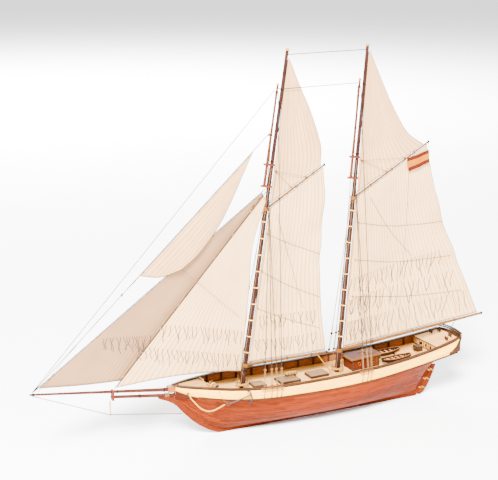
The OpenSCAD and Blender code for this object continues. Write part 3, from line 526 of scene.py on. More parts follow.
def rope(name, light, dark, lay=0.9):
    """Laid rope: three strands winding along the UV's second direction, in millimetres."""
    n = Nodes(name, rough=0.8, sheen=0.04, shine=0.15)
    uv = n.coords("UV", (1, 1, 1))
    split = n.add("SeparateXYZ")
    n.link(uv, split.inputs[0])
    # The grooves between the strands are painted darker along the lay: painted shade; the fuzz noise is the
    # fibres' own colour
    turn = n.math("SINE", n.math("MULTIPLY", n.math("ADD", split.outputs[0], split.outputs[1]), 2 * pi / lay))
    fuzz = n.noise(n.coords(), 1.3, 3, 0.7)
    f = n.math("MULTIPLY_ADD", turn, 0.28, n.math("MULTIPLY_ADD", fuzz, 0.6, 0.2))
    col = n.ramp(f, [(0.15, dark), (0.75, light)])
    return n.done(col, None, n.bump(n.math("MULTIPLY_ADD", fuzz, 0.3, turn), 0.6, 0.00012))


def metal(name, light, dark, rough, metallic=1.0, scale=0.5, dent=0.2):
    """Metal with tarnish in patches and fine dents."""
    n = Nodes(name, metal=metallic)
    obj = n.coords()
    tarnish = n.noise(obj, scale, 5, 0.6, 0.4)
    fine = n.noise(obj, scale * 7, 3, 0.6)
    col = n.ramp(tarnish, [(0.35, dark), (0.65, light)])
    r = n.math("MULTIPLY_ADD", tarnish, -0.2, rough + 0.12)
    return n.done(col, n.math("MULTIPLY_ADD", fine, 0.08, r), n.bump(fine, dent, 0.0001))


def cloth_bands(name, bands):
    """Flag cloth: bands of colour across the UV's second direction, 0 to 1, with a weave."""
    n = Nodes(name, rough=0.8, shine=0.03)
    uv = n.coords("UV", (1, 1, 1))
    split = n.add("SeparateXYZ")
    n.link(uv, split.inputs[0])
    wav = n.math("MULTIPLY_ADD", n.noise(n.coords(), 0.25, 2), 0.03, split.outputs[1])
    r = n.add("ValToRGB")
    r.color_ramp.interpolation = "CONSTANT"
    e = r.color_ramp.elements
    while len(e) < len(bands):
        e.new(0.5)
    for k, (pos, col) in enumerate(bands):
        e[k].position, e[k].color = pos, (*col, 1)
    n.link(wav, r.inputs[0])
    threads = n.noise(n.coords(scale=(1000, 1000, 3000)), 1.4, 2, 0.6)
    col = n.blend(n.math("MULTIPLY", threads, 0.25), r.outputs[0], (0.1, 0.05, 0.02))
    return n.done(col, None, n.bump(threads, 0.4, 0.00015))


M = {
    "mahogany": wood("mahogany", (0.135, 0.0195, 0.0042), (0.06, 0.0085, 0.002), tones=0.3, shine=0.02),
    "keel_wood": wood("keel_wood", (0.105, 0.0145, 0.0035), (0.06, 0.0085, 0.0025), shine=0.03),
    "walnut": wood("walnut", (0.048, 0.019, 0.008), (0.017, 0.0076, 0.0038), shine=0.03),
    "walnut_up": wood("walnut_up", (0.044, 0.020, 0.009), (0.016, 0.008, 0.0042), "Z"),
    "keel_trim": wood("trim_wood", (0.05, 0.0095, 0.0045), (0.02, 0.005, 0.003), shine=0.05),
    "dark": wood("dark_wood", (0.024, 0.0095, 0.005), (0.0085, 0.004, 0.003)),
    "lime": wood("lime_strake", (0.95, 0.48, 0.055), (0.66, 0.30, 0.032), tones=0.12),
    "ply": wood("ply", (0.24, 0.10, 0.017), (0.095, 0.039, 0.009), "Z", rough=0.6),
    "mast": wood("mast_wood", (0.030, 0.0105, 0.0075), (0.011, 0.0043, 0.0034), "Z", shine=0.04),
    "topmast": wood("topmast_wood", (0.08, 0.02, 0.0075), (0.032, 0.009, 0.0038), "Z", shine=0.04),
    "bowsprit": wood("bowsprit_wood", (0.061, 0.014, 0.008), (0.023, 0.0064, 0.004), "X"),
    "cap": wood("cap_wood", (0.12, 0.02, 0.009), (0.055, 0.01, 0.005), "X", shine=0.04),
    "light": wood("light_wood", (0.15, 0.056, 0.009), (0.062, 0.022, 0.0042), "X"),
    "pale": wood("pale_wood", (0.40, 0.185, 0.026), (0.15, 0.066, 0.01), "X", tones=0.25),
    "pale_up": wood("pale_up_wood", (0.52, 0.25, 0.03), (0.2, 0.09, 0.012), "Z", tones=0.25),
    "inner": wood("inner_wood", (0.27, 0.09, 0.02), (0.11, 0.035, 0.01), "X", tones=0.35),
    "house": wood("house_wood", (0.085, 0.0115, 0.0034), (0.032, 0.005, 0.0023), "X"),
    "black": wood("black_wood", (0.007, 0.0057, 0.005), (0.0035, 0.003, 0.0028), "X", tones=0.2, shine=0.04),
    "boat": wood("boat_paint", (0.0125, 0.008, 0.0066), (0.005, 0.0037, 0.0032), "X", tones=0.4, shine=0.05),
    "cover": wood("cover_wood", (0.15, 0.08, 0.03), (0.07, 0.035, 0.013), "X"),
    "deck": decking("deck_planks", (0.56, 0.28, 0.06), (0.27, 0.125, 0.028), (0.03, 0.014, 0.0056)),
    "foredeck": decking("foredeck_planks", (0.45, 0.205, 0.026), (0.21, 0.092, 0.015), (0.04, 0.018, 0.007),
                        3.4, 48),
    "brass": metal("brass", (0.42, 0.2, 0.03), (0.2, 0.085, 0.012), 0.36),
    "iron": metal("iron", (0.034, 0.034, 0.035), (0.0095, 0.0095, 0.01), 0.55, 0.5, 0.7, 0.5),
    "black_line": rope("black_line", (0.0115, 0.0098, 0.0085), (0.0045, 0.004, 0.0036)),
    "tan_line": rope("tan_line", (0.19, 0.098, 0.031), (0.05, 0.026, 0.01)),
    "pale_line": rope("pale_line", (0.33, 0.19, 0.06), (0.09, 0.052, 0.018)),
    "brown_line": rope("brown_line", (0.044, 0.021, 0.0105), (0.016, 0.0083, 0.005)),
    "reef": rope("reef_line", (0.085, 0.05, 0.027), (0.028, 0.017, 0.0105), 0.7),
    "cable": rope("cable", (0.6, 0.3, 0.03), (0.11, 0.052, 0.01), 1.6),
    "canvas": canvas("sailcloth", (0.60, 0.35, 0.155), (0.17, 0.093, 0.045)),
    "canvas_top": canvas("light_sailcloth", (0.48, 0.268, 0.115), (0.15, 0.08, 0.038)),
    # Jib cloth: the sailcloth darker and a little redder; the darkening is painted shade from the staysail's
    # shadow
    "canvas_shaded": canvas("jib_cloth", (0.27, 0.142, 0.064), (0.1, 0.05, 0.025), 5.2),
    "flag": cloth_bands("flag_cloth", [(0, (0.05, 0.0003, 0.0002)), (0.27, (0.27, 0.075, 0.0005)),
                                       (0.73, (0.05, 0.0003, 0.0002))]),
}
# CAD nodes that stay visible, by look
NODE_LOOK = {
    "keel_wood": ["keel_and_posts"], "ply": ["false_keel", "bulkheads"],
    "walnut": ["wales", "cap_rails", "transom", "windlass_bitts", "helm_stand"],
    "keel_trim": ["trailboards", "deckhouse_roof"], "walnut_up": ["timberheads"],
    "mahogany": ["rudder"], "house": ["deckhouse", "deckhouse_door"], "inner": ["channels"],
    "deck": ["main_deck", "quarterdeck"], "foredeck": ["foredeck"], "brass": ["gudgeons", "pintles"],
    "mast": ["fore_mast", "main_mast"], "topmast": ["topmasts"], "cap": ["spar_caps"],
    "bowsprit": ["bowsprit", "jibboom"], "light": ["fore_boom", "main_boom", "fore_gaff", "main_gaff"],
    "pale": ["mast_trucks", "pin_rails", "windlass_barrel", "pump_brake"], "pale_up": ["dolphin_striker"],
}
for look, nodes in NODE_LOOK.items():
    for node in nodes:
        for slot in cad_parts[node].material_slots:
            slot.material = M[look]

# --- the anchor cable, the one free cord ------------------------------------
CABLE = [(-184, -13, 58.2), (-181.4, -13.4, 52.9), (-178.4, -14.3, 48.9), (-174.6, -15.6, 44.1),
         (-170.6, -17.2, 40.2), (-166.3, -19, 37.9), (-161.8, -20.9, 37), (-157.4, -22.7, 37.9),
         (-153, -24.5, 40.1), (-149.4, -27.2, 43.1), (-146.2, -29, 45.3)]
CABLE_R, CABLE_STEPS = 0.8, 150
LAY = 0.19  # radians the strands turn a step
cable_path = spline(CABLE, 40)
strands = Shape()
fine = spline(CABLE, CABLE_STEPS)
lobes = []
cable_side = V((0, 1, 0))
for k, p in enumerate(fine):
    d = (fine[min(k + 1, CABLE_STEPS)] - fine[max(k - 1, 0)]).normalized()
    cable_side = (cable_side - d * cable_side.dot(d)).normalized()
    other = d.cross(cable_side)
    ring = []
    for a in angles(18):
        r = CABLE_R * (0.76 + 0.24 * abs(cos(1.5 * (a - k * LAY))) ** 0.7)
        ring.append(p + r * (cos(a) * cable_side + sin(a) * other))
    lobes.append(ring)
strands.loft(lobes)
cable = make("anchor_cable_rope", strands, M["cable"], replaces="anchor_cable")


# --- hull -------------------------------------------------------------------
def run(a, b, n):
    return [mix(a, b, i / n) for i in range(n + 1)]


STRAKES, PLANK_T, BUTT_GAP = 13, 1.4, 0.08
STEM_X, STERN_X = -196.4, 177.5


def plank(shape, xs, t0, t1):
    """One plank of the skin, its outer edges chamfered, between two shares of the height."""
    c = (t1 - t0) * 0.09
    rings = []
    for x in xs:
        outer = [inset(x, t0, 0.3), inset(x, t0 + c, 0), inset(x, (t0 + t1) / 2, 0), inset(x, t1 - c, 0),
                 inset(x, t1, 0.3)]
        inner = [inset(x, t1, PLANK_T), inset(x, (t0 + t1) / 2, PLANK_T), inset(x, t0, PLANK_T)]
        rings.append(outer + inner)
    shape.loft(rings)


def planking(side):
    shape = Shape()
    edges = [(j / STRAKES) ** 1.18 for j in range(STRAKES + 1)]
    for j in range(STRAKES):
        cuts = [STEM_X + 374 * ((k + 0.25 + 0.5 * ((j * 2) % 5) / 5) / 4) for k in range(4)]
        cuts = [STEM_X] + cuts + [STERN_X]
        for a, b in zip(cuts, cuts[1:]):
            shape.tone = rng.uniform(-1, 1)
            ends = a + (BUTT_GAP if a > STEM_X else 0), b - (BUTT_GAP if b < STERN_X else 0)
            plank(shape, run(*ends, max(3, int((b - a) / 7))), edges[j], edges[j + 1])
    if side == "port":
        for p in shape.v:
            p.y = -p.y
    return make("planks_" + side, shape, M["mahogany"], replaces="planking_" + side,
                sharp=25)


planking("port")
planking("starboard")



def bulwark(u):
    """Foot and head of the bulwark at share u of its length."""
    x, s = mix(-196, 176.6, u), mix(-196, 182.4, u)
    return V((x, wale_b(x), wale_h(x) + 0.1)), V((s, rail_b(s), rail_h(s) - 1.45))


# Three light strakes outside, two brown ones inside
sides = Shape()
for k in range(3):
    for a, b in ((0, 0.3 + 0.12 * k), (0.3 + 0.12 * k, 0.66 + 0.1 * ((k + 1) % 3)),
                 (0.66 + 0.1 * ((k + 1) % 3), 1)):
        sides.tone = rng.uniform(-1, 1)
        rings = []
        for u in run(a, b, max(4, int((b - a) * 60))):
            low, top = bulwark(u)
            p, q = low.lerp(top, k / 3 + 0.003), low.lerp(top, (k + 1) / 3 - 0.003)
            c, thin = (q - p) * 0.07, V((0, 1, 0))
            back_off = min(1.1, low.y - 0.4)
            rings.append([p - thin * 0.22, p + c, q - c, q - thin * 0.22, q - thin * back_off,
                          p - thin * back_off])
        sides.loft(rings)
sides.mat = 1
for k in range(2):
    sides.tone = rng.uniform(-1, 1)
    rings = []
    for u in run(0.02, 1, 60):
        low, top = bulwark(u)
        p, q = low.lerp(top, k / 2), low.lerp(top, (k + 1) / 2)
        o, i = V((0, min(1.12, low.y - 0.42), 0)), V((0, min(2, low.y - 0.38), 0))
        rings.append([p - o, q - o, q - i, p - i])
    sides.loft(rings)
sides.mirrored()
make("bulwark_strakes", sides, [M["lime"], M["inner"]], replaces="bulwarks", sharp=25)

# Fillets in the seam between the garboards and the keel and posts, a moulding under the cap rail
fillet = Shape()
for x0, x1, lift, steps in ((-195.5, 134, 0.1, 110), (134, 176, 0.2, 24)):
    fillet.tube([V((x, 1.35, rabbet_h(x) + lift)) for x in run(x0, x1, steps)], 0.95, 10)
fillet.mirrored()
make("garboard_fillets", fillet, M["mahogany"])
beads = Shape()
beads.tube([V((x, rail_b(x) - 0.02, rail_h(x) - 1.9)) for x in run(-195, 178, 80)], 0.5, 8)
beads.mirrored()
make("rail_bead", beads, M["walnut"])


# --- sails ------------------------------------------------------------------
CLOTH_T = 0.3
REEF_SPACING = 5.2


def clean(p): return V((p[0], 0, p[-1]))  # onto the centreplane


class Sail:
    """Cloth patch between four edges, with a belly; its points are asked for by shares u aft and v up."""

    def __init__(self, luff_pts, leech_pts, bottom, top, belly, n=56, m=72):
        L, R = spline([clean(p) for p in luff_pts], m), spline([clean(p) for p in leech_pts], m)
        B, T = spline([clean(p) for p in bottom], n), spline([clean(p) for p in top], n)
        self.n, self.m = n, m
        self.grid = []
        for j in range(m + 1):
            v = j / m
            row = []
            for i in range(n + 1):
                u = i / n
                p = (L[j] * (1 - u) + R[j] * u + B[i] * (1 - v) + T[i] * v
                     - (B[0] * (1 - u) * (1 - v) + B[n] * u * (1 - v) + T[0] * (1 - u) * v + T[n] * u * v))
                p.y = belly(u, v)
                row.append(p)
            self.grid.append(row)
        self.width = sum((B[i + 1] - B[i]).length for i in range(n))
        self.height = sum((L[j + 1] - L[j]).length for j in range(m))
        # Each cross product is twice a triangle, so one square
        self.area = sum((self.grid[j][i + 1] - self.grid[j][i]).cross(self.grid[j + 1][i]
                - self.grid[j][i]).length
                        for j in range(m) for i in range(n))

    def at(self, u, v):
        fu, fv = min(max(u, 0), 1) * self.n, min(max(v, 0), 1) * self.m
        i, j = min(int(fu), self.n - 1), min(int(fv), self.m - 1)
        s, t = fu - i, fv - j
        g = self.grid
        return (g[j][i] * (1 - s) * (1 - t) + g[j][i + 1] * s * (1 - t) + g[j + 1][i] * (1 - s) * t
                + g[j + 1][i + 1] * s * t)

    def find(self, x, z, u=0.5, v=0.5):
        """Shares (u, v) of the cloth's point at x, z."""
        for _ in range(7):
            p, e = self.at(u, v), 0.004
            pu, pv = (self.at(u + e, v) - self.at(u - e, v)) / (2 * e), (self.at(u, v + e)
                    - self.at(u, v - e)) / (2 * e)
            det = pu.x * pv.z - pv.x * pu.z
            if abs(det) < 1e-6:
                break
            dx, dz = x - p.x, z - p.z
            u = min(max(u + (dx * pv.z - pv.x * dz) / det, 0.005), 0.995)
            v = min(max(v + (pu.x * dz - pu.z * dx) / det, 0.005), 0.995)
        return u, v

    def over(self, x, z, gap, guess=(0.5, 0.5)):
        """Point over the cloth at x, z, gap to starboard of it (to port when negative)."""
        u, v = self.find(x, z, *guess)
        return V((x, self.at(u, v).y + gap, z)), (u, v)

    def cloth(self, name, mat, body, replaces):
        n, m = self.n, self.m
        shape = Shape()
        shape.v = [p for row in self.grid for p in row]
        shape.grid(n, m, self.width / n, self.height / m)
        obj = make(name, shape, mat, body, replaces, sharp=80)
        s = obj.modifiers.new("thickness", "SOLIDIFY")
        s.thickness = CLOTH_T * MM
        s.offset = 0
        return obj

    def edge(self, side, k=60):
        get = {"left": lambda t: self.at(0, t), "right": lambda t: self.at(1, t),
               "bottom": lambda t: self.at(t, 0), "top": lambda t: self.at(t, 1)}[side]
        return [get(t) for t in run(0, 1, k)]

    def edge_rope(self, name, edges, r, body="hull", look="brown_line"):
        shape = Shape()
        for e in edges:
            shape.tube(self.edge(e), r, 7)
        return make(name, shape, M[look], body)


def wrinkle(u, v, seed, size):
    """Small uneven swell, fading to the cloth's edges."""
    return size * noise.noise(V((u * 7 + seed, v * 9, seed * 1.7))) * min(1, 8 * min(u, 1 - u, v, 1 - v)
            + 0.15)


def reef_points(shape, sail, row, spacing, length, seed):
    """Short cords through the cloth along a row of (x, z) points, hanging on both sides."""
    draw = random.Random(seed)
    total = sum((row[i + 1] - row[i]).length for i in range(len(row) - 1))
    count = int(total / spacing)
    line = spline(row, count)
    guess = (0.1, 0.5)
    for k, p in enumerate(line):
        for gap in (-0.42, 0.42):  # port side, starboard side
            long = draw.uniform(0.7, 1.25) * length
            lean, wave, phase = draw.uniform(-0.34, 0.34), draw.uniform(0.6, 1.9), draw.uniform(0, 6)
            pts = []
            for t in run(0, 1, 9):
                x = p.x + lean * long * t + wave * sin(phase + 5.5 * t) * t ** 0.5
                z = p.z - long * t
                q, guess = sail.over(x, z, gap * (0.3 if t == 0 else 1) + (0.25 * gap * sin(phase + 7 * t)),
                                     guess)
                pts.append(q)
            shape.tube(pts, 0.36, 6)
            shape.ring(p + V((0, sail.at(*sail.find(p.x, p.z, *guess)).y + gap * 0.6, 0)), (0, 1, 0), 0.5,
                       0.16, 10, 5)


def draped(shape, sail, pts, gap):
    """Thin line lying over a sail through (x, z) points."""
    guess = (0.5, 0.5)
    out = []
    for p in spline([V((x, 0, z)) for x, z in pts], 24):
        q, guess = sail.over(p.x, p.z, gap, guess)
        out.append(q)
    shape.tube(out, 0.2, 6)


def block(shape, at, axis, size, pull=(0, 0, 1)):
    """Rigging block: two oval cheeks, the sheave between them and a rope strop round it."""
    at, axis, pull = V(at), V(axis).normalized(), V(pull).normalized()
    pull = (pull - axis * pull.dot(axis)).normalized()
    side = axis.cross(pull)
    keep = shape.mat
    for s in (-1, 1):
        rings = []
        for w, k in ((0.12, 0.86), (0.2, 1.0), (0.45, 1.0), (0.62, 0.8), (0.68, 0.45)):
            rings.append([at + axis * (s * w * size) + pull * (size * 1.25 * k * cos(a))
                          + side * (size * 0.85 * k * sin(a)) for a in angles(18)])
        shape.loft(rings)
    shape.lathe(at - axis * size * 0.14, axis, [(0, 0.6 * size), (0.14 * size, 0.5 * size),
                                                (0.28 * size, 0.6 * size)], 14)
    shape.mat = keep + 1
    rings = []
    for a in angles(24):
        c = at + pull * (size * 1.36 * cos(a)) + side * (size * 0.93 * sin(a))
        out = (pull * cos(a) + side * sin(a)).normalized()
        rings.append([c + out * 0.17 * cos(b) + axis * 0.17 * sin(b) for b in angles(6)])
    shape.loft(rings, loop=True)
    shape.mat = keep


def gaff_set(tag, body, boom, gaff, on, up_axis, hoop_h, foot, head, leech, sail_belly, top_pts, top_leech,
             brails, diagonal, rows, cap_h, shares, jaws_h):
    """Lower sail, topsail, hoops, halyards and their ropes for one mast.

    foot and head are (share of the spar, offset from it) at both ends; shares are where the
    halyards meet the gaff, cap_h their height on the mast, jaws_h the gaff's.
    """
    b0, b1 = foot
    g0, g1 = head
    lower = Sail([along(boom, b0[0], b0[1]), along(gaff, g0[0], g0[1])],
                 [along(boom, b1[0], b1[1])] + leech + [along(gaff, g1[0], g1[1])],
                 [along(boom, b0[0], b0[1]), along(boom, b1[0], b1[1])],
                 [along(gaff, g0[0], g0[1]), along(gaff, g1[0], g1[1])],
                 sail_belly)
    name = {"fore": "foresail", "main": "mainsail"}[tag]
    cloth = lower.cloth(name + "_cloth", M["canvas"], body, name)
    bolt = lower.edge_rope(name + "_luff_rope", ["left"], 0.42, body, "black_line")
    leech_rope = lower.edge_rope(name + "_bolt_rope", ["right", "bottom", "top"], 0.34, body)
    reefs = Shape()
    for k, row in enumerate(rows):
        reef_points(reefs, lower, [V((x, 0, z)) for x, z in row], REEF_SPACING, 23 if tag == "main" else 15,
                    11 * k + len(tag) + len(rows))
    reef_obj = make(name + "_reef_points", reefs, M["reef"], body)
    lines = Shape()
    for pts in brails:
        for gap in (-0.75, 0.75):
            draped(lines, lower, pts, gap)
    draped(lines, lower, diagonal, -1.1)
    for pts in brails:
        for gap in (-1.1, 1.1):
            p, _ = lower.over(pts[0][0] + 2, pts[0][1], gap)
            lines.mat = 1
            block(lines, p, (0, 1, 0), 1.0, (1, 0, -0.2))
    make(name + "_brails", lines, [M["brown_line"], M["pale"], M["tan_line"]], body)
    # Lacing of the head to the gaff and of the foot to the boom
    lace = Shape()
    for spar, (t0, s0), (t1, s1), r in ((gaff, head[0], head[1], 1.5), (boom, foot[0], foot[1], 2.0)):
        turns = int((spar[1] - spar[0]).length / 7.5)
        pts = []
        for i in range(turns * 10 + 1):
            t = mix(t0, t1, i / (turns * 10))
            a = 2 * pi * i / 10
            c = along(spar, t, mix(s0, s1, i / (turns * 10)) * 0.47)
            half = abs(mix(s0, s1, i / (turns * 10))) * 0.53 + 0.5
            rad = mix(r, r * 0.72, t) + 0.28
            w = rad * sin(a)
            if abs(cos(a)) > 0.3 and (cos(a) > 0) == (s0 > 0):
                w *= 0.35
            pts.append(V((c.x, w, c.z + cos(a) * (half + rad * 0.3))))
        lace.tube(pts, 0.2, 5)
    make(name + "_lacing", lace, M["tan_line"], body)
    # Topsail
    top = Sail(top_pts["luff"], top_leech, top_pts["foot"], top_pts["head"],
               lambda u, v: 3.2 * sin(pi * min(u, 1)) * sin(pi * v ** 0.8) * (1 - v * 0.4)
               + 3.2 * max(0, (u - 0.7) / 0.3) ** 1.4 * sin(pi * v ** 0.6)
               + wrinkle(u, v, 4 + len(tag) * 3, 0.5), 30, 60)
    tcloth = top.cloth(tag + "_topsail_cloth", M["canvas_top"], body, tag + "_topsail")
    trope = top.edge_rope(tag + "_topsail_rope", ["left", "right", "bottom"], 0.32, body)
    # Mast hoops, halyards with their blocks, and the gaff's parrel beads
    hoops = Shape()
    for h in hoop_h:
        hoops.tone = rng.uniform(-1, 1)
        hoops.ring(on(h), up_axis, mast_radius(h) + 0.75, 0.34, 30, 8, 1.5)
    hoops.mat = 2
    cap = on(cap_h, 6, -1.6)
    ends = [along(gaff, s, 3, -1.6) for s in shares]
    for e in ends:
        hoops.tube([cap, e], 0.25, 7)
    hoops.tube([cap + V((0, 0, -1)), on(150, 4.6, -1.7), on(52, 4.8, -1.9)], 0.24, 7)
    hoops.mat = 1
    for p, size, pull in ((cap, 1.35, (1, 0, -0.3)), (ends[1], 1.05, cap - ends[1]),
                          (ends[0], 1.0, cap - ends[0])):
        block(hoops, p, (0, 1, 0), size, pull)
    around = mast_radius(jaws_h) + 1.0
    for a in angles(12)[1:]:
        c = on(jaws_h - 4.6) + (cos(a) * on(0, 1) - cos(a) * on(0)) * around + V((0, sin(a) * around, 0))
        hoops.lathe(c - V((0, 0, 0.6)), up_axis, [(0, 0.3), (0.3, 0.6), (0.9, 0.6), (1.2, 0.3)], 8)
    make(tag + "_hoops_and_halyards", hoops, [M["lime"], M["light"], M["tan_line"]], body, replaces=tag
         + "_halyards")


def belly_of(size, seed, fold):
    """Belly of a lower sail: full in the middle, curled leech, a fold at each (centre, height, size)."""
    def f(u, v):
        full = sin(pi * u ** 1.15) * sin(pi * v ** 0.85)
        ripple = 0.0
        for c, h, s in fold:
            ripple += s * math.exp(-((v - c) / h) ** 2) * max(0, (u - 0.72) / 0.28) ** 1.5 * sin(pi * min(1,
                    (v - c + h) / (2 * h)) * 2)
        curl = 0.5 * size * max(0, (u - 0.78) / 0.22) ** 1.5 * sin(pi * v ** 0.9)
        return size * max(full, 0) + curl + ripple * sin(pi * min(1, v * 1.02)) + wrinkle(u, v, seed, 0.75)
    return f


gaff_set(
    "fore", "fore_sails", FORE_BOOM, FORE_GAFF, on_fore, FORE_UP, [44 + 19.5 * i for i in range(9)],
    ((0.042, 2.8), (0.97, 2.5)), ((0.052, -2.9), (0.97, -2.3)), [V((-4.1, 0, 134.3)), V((-6, 0, 204)),
            V((-1.5, 0, 265))],
    belly_of(6.0, 3, [(0.72, 0.16, 2.4), (0.5, 0.1, 2.0)]),
    {"luff": [along(FORE_GAFF, 0.06, 3), on_fore(275, 3.6), on_fore(330, 2.7), on_fore(386, 2.4)],
     "foot": [along(FORE_GAFF, 0.06, 3), along(FORE_GAFF, 0.93, 2.2)],
     "head": [on_fore(386, 2.4), on_fore(388, 3.6)]},
    [along(FORE_GAFF, 0.93, 2.2), V((-7, 0, 332)), V((-20.8, 0, 371.4)), V((-34.7, 0, 398.9)),
     on_fore(388, 3.6)],
    [[(-80, 233.8), (-45, 217), (-7.5, 201.7)], [(-87, 190), (-46, 166), (-6, 147.8)],
     [(-92, 145.4), (-48, 125), (-5.4, 109)]],
    [(-65.7, 255), (-45, 195), (-27.7, 137)],
    [[(-88, 135.4), (-50, 132), (-12, 131.8)], [(-93, 106.6), (-52, 103), (-11, 103.9)]],
    259, (0.42, 0.66), 214.8)
gaff_set(
    "main", "main_sails", MAIN_BOOM, MAIN_GAFF, on_main, MAIN_UP, [46 + 19.5 * i for i in range(9)],
    ((0.026, 3.0), (0.962, 2.6)), ((0.036, -2.9), (0.97, -2.3)),
    [V((207.4, 0, 144)), V((188.3, 0, 185.6)), V((167.7, 0, 232.8)), V((152.2, 0, 278.3))],
    belly_of(10.0, 8, [(0.6, 0.15, 3.0), (0.35, 0.12, 1.8)]),
    {"luff": [along(MAIN_GAFF, 0.05, 3), on_main(275, 3.6), on_main(330, 2.7), on_main(389, 2.4)],
     "foot": [along(MAIN_GAFF, 0.05, 3), along(MAIN_GAFF, 0.92, 2.2)],
     "head": [on_main(389, 2.4), on_main(391, 3.6)]},
    [along(MAIN_GAFF, 0.92, 2.2), V((112.4, 0, 340.2)), V((92.1, 0, 370.2)), V((75.2, 0, 400.6)),
     on_main(391, 3.6)],
    [[(43, 235), (100, 224), (172, 223.3)], [(40, 189), (110, 177), (184, 178.3)],
     [(37, 143.3), (120, 132), (202, 130.6)]],
    [(60, 265), (92, 222), (128.6, 183)],
    [[(37.5, 165.5), (100, 174), (167, 186)], [(35, 139), (80, 145), (189, 157.4)],
     [(33, 111.5), (80, 114.7), (205, 129.1)]],
    262, (0.42, 0.66), 216.8)


def headsail(name, stay, t0, t1, y0, leech, foot, belly, mat, hanks, rows):
    """Sail set on a stay between shares t0 and t1, y0 from the centreplane, with hanks and reef rows."""
    sail = Sail([luff(stay, t0), luff(stay, t1)], leech, foot, [luff(stay, t1), leech[-1]],
                lambda u, v: y0 + belly(u, v), 40, 64)
    cloth = sail.cloth(name + "_cloth", mat, "hull", name)
    with_pieces = [sail.edge_rope(name + "_bolt_rope", ["left", "right", "bottom"], 0.34)]
    # Hanks: seizings that hold the luff to the stay
    seize = Shape()
    d = (stay[1] - stay[0]).normalized()
    for t in hanks:
        p = stay[0].lerp(stay[1], t)
        q = sail.at(0, (t - t0) / (t1 - t0))
        for off in (-0.45, 0, 0.45):
            c = (p + q) / 2 + d * off
            a, b = (q - p).normalized(), d.cross(q - p).normalized()
            big = (q - p).length / 2 + 0.7
            seize.loft([[c + a * (big + 0.2 * cos(w)) * cos(s) + b * (0.75 + 0.2 * cos(w)) * sin(s)
                         + d * 0.2 * sin(w)
                         for w in angles(6)] for s in angles(16)], loop=True)
    with_pieces.append(make(name + "_hanks", seize, M["pale_line"]))
    if rows:
        reefs = Shape()
        for k, (row, long) in enumerate(rows):
            reef_points(reefs, sail, [V((x, 0, z)) for x, z in row], REEF_SPACING, long, 31 * k + len(name))
        with_pieces.append(make(name + "_reef_points", reefs, M["reef"]))


headsail(
    "flying_jib", FLYING_STAY, 0.44, 0.925, 0, [V((-186.2, 0, 203.8)), V((-162.8, 0, 220.9)),
                                                V((-136.6, 0, 253)), V((-112.7, 0, 297))],
    [luff(FLYING_STAY, 0.44), V((-212, 0, 197.5)), V((-186.2, 0, 203.8))],
    lambda u, v: -2.6 * u * (1 - v) ** 0.6 - 1.6 * sin(pi * u) * sin(pi * v ** 0.8) + wrinkle(u, v, 21, 0.35)
    + 1.4 * max(0, (u - 0.78) / 0.22) ** 1.4 * sin(pi * v ** 0.8),
    M["canvas_top"], [0.455, 0.54, 0.615, 0.69, 0.765, 0.84, 0.905], [])
# The jib takes the darker cloth, painted shade from the staysail
headsail(
    "jib", JIB_STAY, 0.02, 0.985, 1.2, [V((-134, 0, 82)), V((-118, 0, 160)), V((-104, 0, 235)),
                                        luff(JIB_STAY, 0.985) + V((3, 0, -6))],
    [luff(JIB_STAY, 0.02), V((-290, 0, 83)), V((-200, 0, 80.5)), V((-134, 0, 82))],
    lambda u, v: 7.5 * u * (1 - v) + 3.2 * sin(pi * u) * sin(pi * v ** 0.7) + wrinkle(u, v, 27, 0.4),
    M["canvas_shaded"], [0.08, 0.17, 0.26, 0.35, 0.44, 0.53, 0.62, 0.71, 0.8, 0.89, 0.96],
    [([(-279, 134), (-250, 131), (-225, 128.5), (-170, 124), (-128, 122)], 16)])
headsail(
    "fore_staysail", FORESTAY, 0.01, 0.985, -0.8,
    [V((-113, 0, 72)), V((-109.2, 0, 107.8)), V((-102.7, 0, 165.4)), V((-97.5, 0, 221)),
     luff(FORESTAY, 0.985) + V((3, 0, -6))],
    [luff(FORESTAY, 0.01), V((-200, 0, 79)), V((-140, 0, 75.7)), V((-113, 0, 72))],
    lambda u, v: -1.6 * u * (1 - v) + 0.9 * sin(pi * u) * sin(pi * v ** 0.7) + wrinkle(u, v, 33, 0.35),
    M["canvas"], [0.06, 0.18, 0.3, 0.42, 0.54, 0.66, 0.78, 0.9],
    [([(-211, 141.4), (-160, 131), (-112, 120)], 17), ([(-237, 119), (-175, 105), (-116, 92)], 17)])

# --- flag ---------------------------------------------------------------------
flag_shape = Shape()
COLS, ROWS = 30, 24
corner = [V((110, 0, 309)), V((141, 0, 317)), V((142, 0, 301.5)), V((113, 0, 292))]
for j in range(ROWS + 1):
    for i in range(COLS + 1):
        u, v = i / COLS, j / ROWS
        p = corner[0].lerp(corner[1], u).lerp(corner[3].lerp(corner[2], u), v)
        p.y = -2.8 + 0.75 * sin(3 * pi * u + 0.6) * (0.35 + 0.65 * v) + 0.25 * sin(9 * u + 5 * v)
        p.z += -0.5 * sin(pi * u) * (1 - v)
        flag_shape.v.append(p)
flag_shape.grid(COLS, ROWS, 1 / COLS, 1 / ROWS)
ensign = make("ensign", flag_shape, M["flag"], "main_sails", "flag", 80)
ensign.modifiers.new("thickness", "SOLIDIFY").thickness = 0.25 * MM
bend = Shape()
bend.tube([along(MAIN_GAFF, 0.74, 1.4, -1.4), V((109.6, -2.6, 310)), V((110.6, -2.8, 300)),
           V((113, -2.9, 291)), V((112, -2.6, 240)), V((108, -2.4, 160)), V((104, -2.2, 92))], 0.2, 6)
bend.tube([V((110, -2.7, 309)), V((126, -2.8, 313)), V((141, -2.7, 317)), along(MAIN_GAFF, 0.985, 0.8,
        -1.1)], 0.2, 6)
bend_obj = make("ensign_halyard", bend, M["tan_line"], "main_sails")

# --- standing rigging ------------------------------------------------------------
FORE_SHROUDS, MAIN_SHROUDS = [-100.5, -91.5, -85, -79], [31, 38, 43]


def eye_low(x): return V((x, rail_b(x) + 2.9, rail_h(x) + 2.8))


